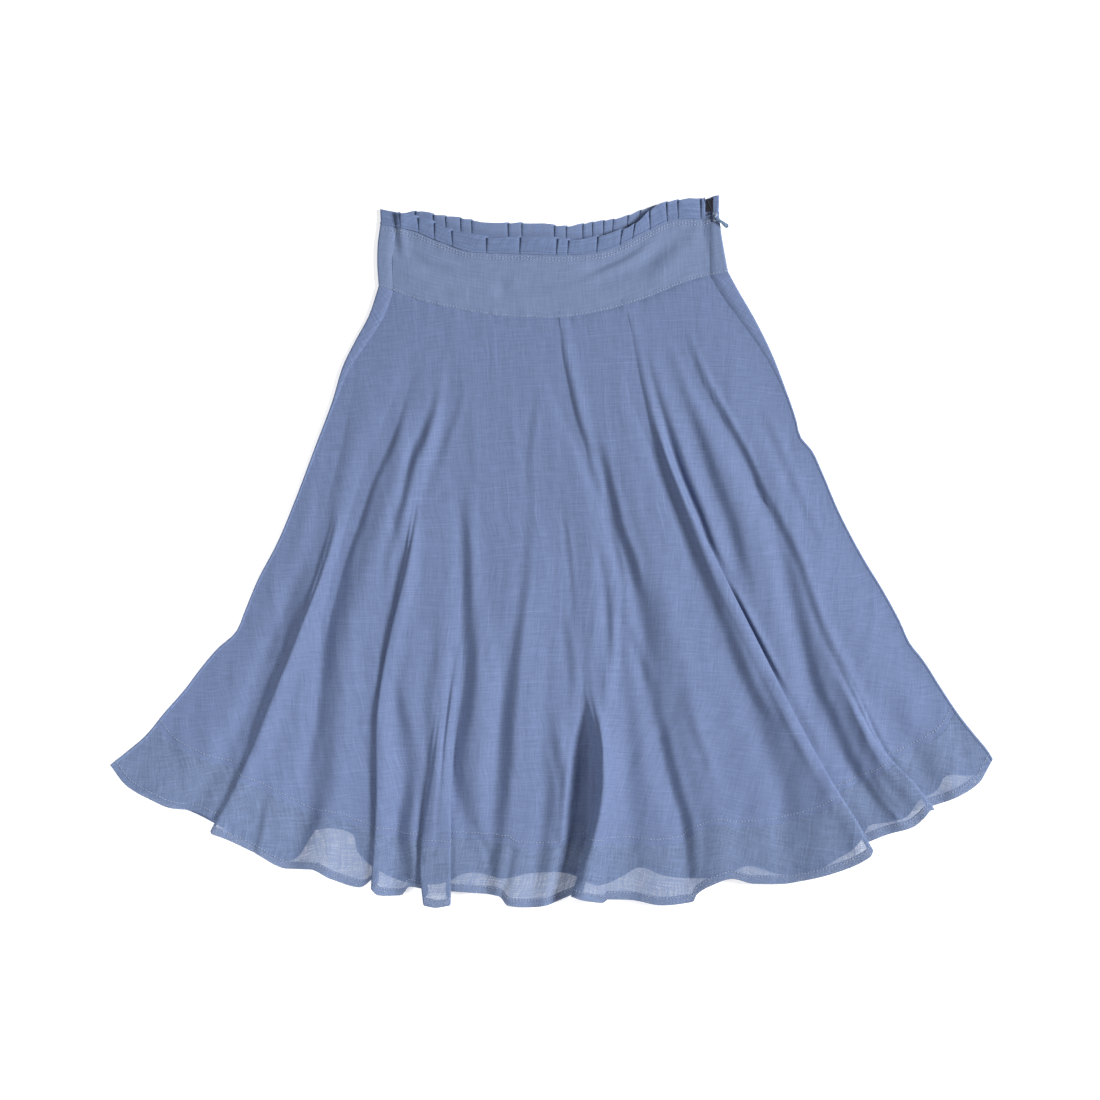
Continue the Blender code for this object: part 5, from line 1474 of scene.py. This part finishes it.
def outline_solid(name, outline, low, high, bevel):
    """A flat plate from an outline, with rounded edges."""
    working = bmesh.new()
    face = working.faces.new([working.verts.new((x * MM, y * MM, low * MM)) for x, y in outline])
    lifted = bmesh.ops.extrude_face_region(working, geom=[face])
    raised = [item for item in lifted["geom"] if isinstance(item, bmesh.types.BMVert)]
    bmesh.ops.translate(working, verts=raised, vec=(0, 0, (high - low) * MM))
    bmesh.ops.recalc_face_normals(working, faces=working.faces[:])
    edges = [edge for edge in working.edges if len(edge.link_faces) == 2 and edge.calc_face_angle() > 0.7]
    bmesh.ops.bevel(working, geom=edges, offset=bevel * MM, segments=3, profile=0.5, affect="EDGES",
                    clamp_overlap=True)
    mesh = bpy.data.meshes.new(name)
    working.to_mesh(mesh)
    working.free()
    return mesh


def rod_mesh(name, points, radius, roundness):
    """A closed round wire through points, joined at its bends."""
    curve = bpy.data.curves.new(name, "CURVE")
    curve.dimensions = "3D"
    curve.bevel_depth = radius * MM
    curve.bevel_resolution = roundness
    curve.use_fill_caps = True
    spline = curve.splines.new("POLY")
    spline.points.add(len(points) - 1)
    for point, place in zip(spline.points, points):
        point.co = (*(value * MM for value in place), 1.0)
    holder = bpy.data.objects.new(name, curve)
    bpy.context.scene.collection.objects.link(holder)
    evaluated = holder.evaluated_get(bpy.context.evaluated_depsgraph_get())
    mesh = bpy.data.meshes.new_from_object(evaluated)
    bpy.data.objects.remove(holder, do_unlink=True)
    working = bmesh.new()
    working.from_mesh(mesh)
    bmesh.ops.remove_doubles(working, verts=working.verts[:], dist=0.00001)
    bmesh.ops.recalc_face_normals(working, faces=working.faces[:])
    working.to_mesh(mesh)
    working.free()
    return mesh


def joined(name, meshes):
    """One mesh from several, each with its place."""
    working = bmesh.new()
    for mesh, place in meshes:
        mesh.transform(place)
        working.from_mesh(mesh)
    result = bpy.data.meshes.new(name)
    working.to_mesh(result)
    working.free()
    result.shade_smooth()
    result.set_sharp_from_angle(angle=math.radians(METAL_SHARP))
    return result


def slider_place():
    top = WALL + FOLD_RISE + SLIDER_LIFT
    spot = Vector(to_metres((*SLIDER_CENTRE, top)))
    return Matrix.Translation(spot)


def hinge_place():
    """Frame of the pull's hinge: X along the pull, Y along the bar."""
    top = WALL + FOLD_RISE + SLIDER_LIFT + SLIDER_SIZE[2]
    spot = Vector(to_metres((*SLIDER_CENTRE, top + HINGE_RISE)))
    return Matrix.Translation(spot) @ Matrix.Rotation(math.radians(PULL_HEADING), 4, "Z")


def slider_mesh():
    """Zip slider: a shouldered top plate over a lower one, and the bridge that carries the pull."""
    length, width, height = SLIDER_SIZE
    half, deep = length / 2, width / 2
    shield = ((-half * 0.62, -deep), (half * 0.62, -deep), (half * 0.72, -deep * 0.1), (half, deep * 0.55),
              (half * 0.86, deep * 0.95), (half * 0.3, deep), (0, deep * 0.72), (-half * 0.3, deep),
              (-half * 0.86, deep * 0.95), (-half, deep * 0.55), (-half * 0.72, -deep * 0.1))
    lower = outline_solid("slider_lower", shield, 0.0, LOWER_PLATE, 0.14)
    upper = outline_solid("slider_upper", shield, height - UPPER_PLATE, height, 0.2)
    core = ((-0.5, -deep * 0.9), (0.5, -deep * 0.9), (0.9, deep * 0.6), (-0.9, deep * 0.6))
    waist = outline_solid("slider_core", core, CORE_INSET, height - CORE_INSET, 0.1)
    leg = HINGE_RISE + 0.35
    half_arch = [(-LEG_SPREAD, -leg), (-LEG_SPREAD, -0.9), (-LEG_SPREAD * 0.86, -0.22),
                 (-LEG_SPREAD * 0.6, 0)]
    arch = [(0, y, z) for y, z in half_arch] + [(0, -y, z) for y, z in reversed(half_arch)]
    bridge = rod_mesh("slider_bridge", arch, BAR_RADIUS, 3)
    return joined("slider_metal", [(lower, slider_place()), (upper, slider_place()), (waist, slider_place()),
                                   (bridge, hinge_place())])


def pull_mesh():
    """Zip pull: a ring round the bridge, a neck, and a teardrop plate with a raised rim."""
    radius = PULL_WIDTH / 2
    centre = PULL_LENGTH - radius
    plate = [(KNUCKLE_RADIUS * 0.6, -0.85), (3.0, -0.95), (7.0, -1.3)]
    plate += [(centre + radius * math.cos(a), radius * math.sin(a))
              for a in np.radians(np.linspace(-PLATE_ARC, PLATE_ARC, PLATE_POINTS))]
    plate += [(7.0, 1.3), (3.0, 0.95), (KNUCKLE_RADIUS * 0.6, 0.85)]
    low, high = -KNUCKLE_RADIUS, -KNUCKLE_RADIUS + PULL_PLATE
    body = outline_solid("pull_plate", plate, low, high, PULL_BEVEL)
    turns = np.radians(np.linspace(0, 360, RING_POINTS))
    rim_radius = radius * 0.62
    rim = [(centre + rim_radius * 1.05 * math.cos(a), rim_radius * math.sin(a), high) for a in turns]
    rim_wire = rod_mesh("pull_rim", rim, RIM_RADIUS, 2)
    eye_radius = KNUCKLE_RADIUS - EYE_RADIUS
    ring = [(eye_radius * math.cos(a), 0, eye_radius * math.sin(a)) for a in turns]
    rings = []
    for i, y in enumerate(EYE_PLACES):
        place = hinge_place() @ Matrix.Translation((0, y * MM, 0))
        rings.append((rod_mesh(f"pull_eye_{i}", ring, EYE_RADIUS, 2), place))
    drop = Matrix.Rotation(math.radians(PULL_DROOP), 4, "Y")
    return joined("pull_metal", [(body, hinge_place() @ drop), (rim_wire, hinge_place() @ drop)] + rings)


class SKIRT_OT_zip(bpy.types.Operator):
    """Make the zip: its tape, teeth, slider and pull"""

    bl_idname = "skirt.zip"
    bl_label = "Zip"

    def execute(self, context):
        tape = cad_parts["zip_tape"]
        # The tape's near-black colour is partly its navy dye and partly painted shade of the gap beside the
        # zip
        tape.material_slots[0].material = tape_material("navy_zip_tape_and_gap_shade", TAPE_NAVY_AND_GAP_SHADE)
        slider = enamel("slider_enamel", SLIDER_BLUE, SLIDER_WORN)
        pull = enamel("pull_enamel", PULL_BLUE, PULL_WORN)
        add_piece("zip_slider_metal", slider_mesh(), slider, replaces=("zip_slider",))
        add_piece("zip_pull_metal", pull_mesh(), pull, body=PULL_TAB,
                  replaces=("zip_pull",))
        level = WALL / 2 + FOLD_RISE + TEETH_LIFT
        reads = np.linspace(0, 1, TEETH_READS)
        lines = [[(x, y, level) for x, y in Line(line).at(reads)] for line in ZIP_LINES]
        coil = thread_material("zip_coil", COIL_NAVY)
        laid_along("zip_teeth", lines, coil, "navy_tape", *TOOTH, 0.0)
        return {"FINISHED"}


# Studio: half width of the floor, how much it glows, and each light's place, aim and size
FLOOR_SIZE, FLOOR_GLOW = 30.0, 0.55
KEY_LIGHT = ((3.9, 0.7, 2.7), (0, 0, 0), 1.7)
FILL_LIGHT = ((-0.82, -0.55, 0.72), (-0.42, -0.28, 0), 0.4)


def soft_light(name, spot, aim, size, power):
    """A large soft box that faces a point."""
    light = bpy.data.lights.new(name, "AREA")
    light.shape = "SQUARE"
    light.size = size
    light.energy = power
    lamp = bpy.data.objects.new(name, light)
    lamp.location = spot
    lamp.rotation_euler = (Vector(aim) - Vector(spot)).to_track_quat("-Z", "Y").to_euler()
    lamp.visible_camera = False
    bpy.context.scene.collection.objects.link(lamp)


class SKIRT_OT_stage(bpy.types.Operator):
    """Set the floor, the soft studio light and the camera straight above"""

    bl_idname = "skirt.stage"
    bl_label = "Stage"

    def execute(self, context):
        scene, stage = context.scene, context.scene.skirt_stage
        working = bmesh.new()
        bmesh.ops.create_grid(working, x_segments=1, y_segments=1, size=FLOOR_SIZE)
        floor_mesh = bpy.data.meshes.new("floor")
        working.to_mesh(floor_mesh)
        working.free()
        floor_mesh.materials.append(plain_surface("white_card", (0.90, 0.90, 0.90), 0.9, FLOOR_GLOW))
        floor = bpy.data.objects.new("floor", floor_mesh)
        scene.collection.objects.link(floor)
        soft_light("key_light", *KEY_LIGHT, stage.key_power)
        soft_light("fill_light", *FILL_LIGHT, stage.fill_power)
        world = bpy.data.worlds.new("studio")
        world.use_nodes = True
        background = world.node_tree.nodes["Background"]
        background.inputs["Color"].default_value = (1.0, 1.0, 1.0, 1.0)
        background.inputs["Strength"].default_value = stage.room
        scene.world = world
        scene.view_settings.view_transform = "Standard"
        lens = bpy.data.cameras.new("camera")
        lens.sensor_width = 36.0
        lens.lens = lens.sensor_width * stage.camera_height / stage.view_width
        camera = bpy.data.objects.new("camera", lens)
        middle = stage.view_width / MM / 2
        spot = to_metres((middle, middle, 0.0))
        camera.location = (spot[0], spot[1], stage.camera_height)
        scene.collection.objects.link(camera)
        scene.camera = camera
        return {"FINISHED"}


OPERATORS = (SKIRT_OT_panels, SKIRT_OT_flounces, SKIRT_OT_yokes, SKIRT_OT_frills, SKIRT_OT_stitching,
             SKIRT_OT_zip, SKIRT_OT_stage)
SETTINGS = {"skirt_cloth": ClothSettings, "skirt_stitch": StitchSettings, "skirt_stage": StageSettings}


class SKIRT_PT_panel(bpy.types.Panel):
    """Lists the pieces and their settings"""

    bl_label = "Circle skirt"
    bl_idname = "SKIRT_PT_panel"
    bl_space_type = "VIEW_3D"
    bl_region_type = "UI"
    bl_category = "Skirt"

    def draw(self, context):
        for name, group in SETTINGS.items():
            box = self.layout.box()
            for prop in group.__annotations__:
                box.prop(getattr(context.scene, name), prop)
        for operator in OPERATORS:
            self.layout.operator(operator.bl_idname)


def register():
    for group in SETTINGS.values():
        bpy.utils.register_class(group)
    for operator in OPERATORS:
        bpy.utils.register_class(operator)
    bpy.utils.register_class(SKIRT_PT_panel)
    for name, group in SETTINGS.items():
        setattr(bpy.types.Scene, name, bpy.props.PointerProperty(type=group))


def unregister():
    for name in SETTINGS:
        delattr(bpy.types.Scene, name)
    for item in (SKIRT_PT_panel, *reversed(OPERATORS), *SETTINGS.values()):
        bpy.utils.unregister_class(item)


def main():
    register()
    for name in ("panels", "flounces", "yokes", "frills", "stitching", "zip", "stage"):
        getattr(bpy.ops.skirt, name)()


if __name__ == "__main__":
    main()
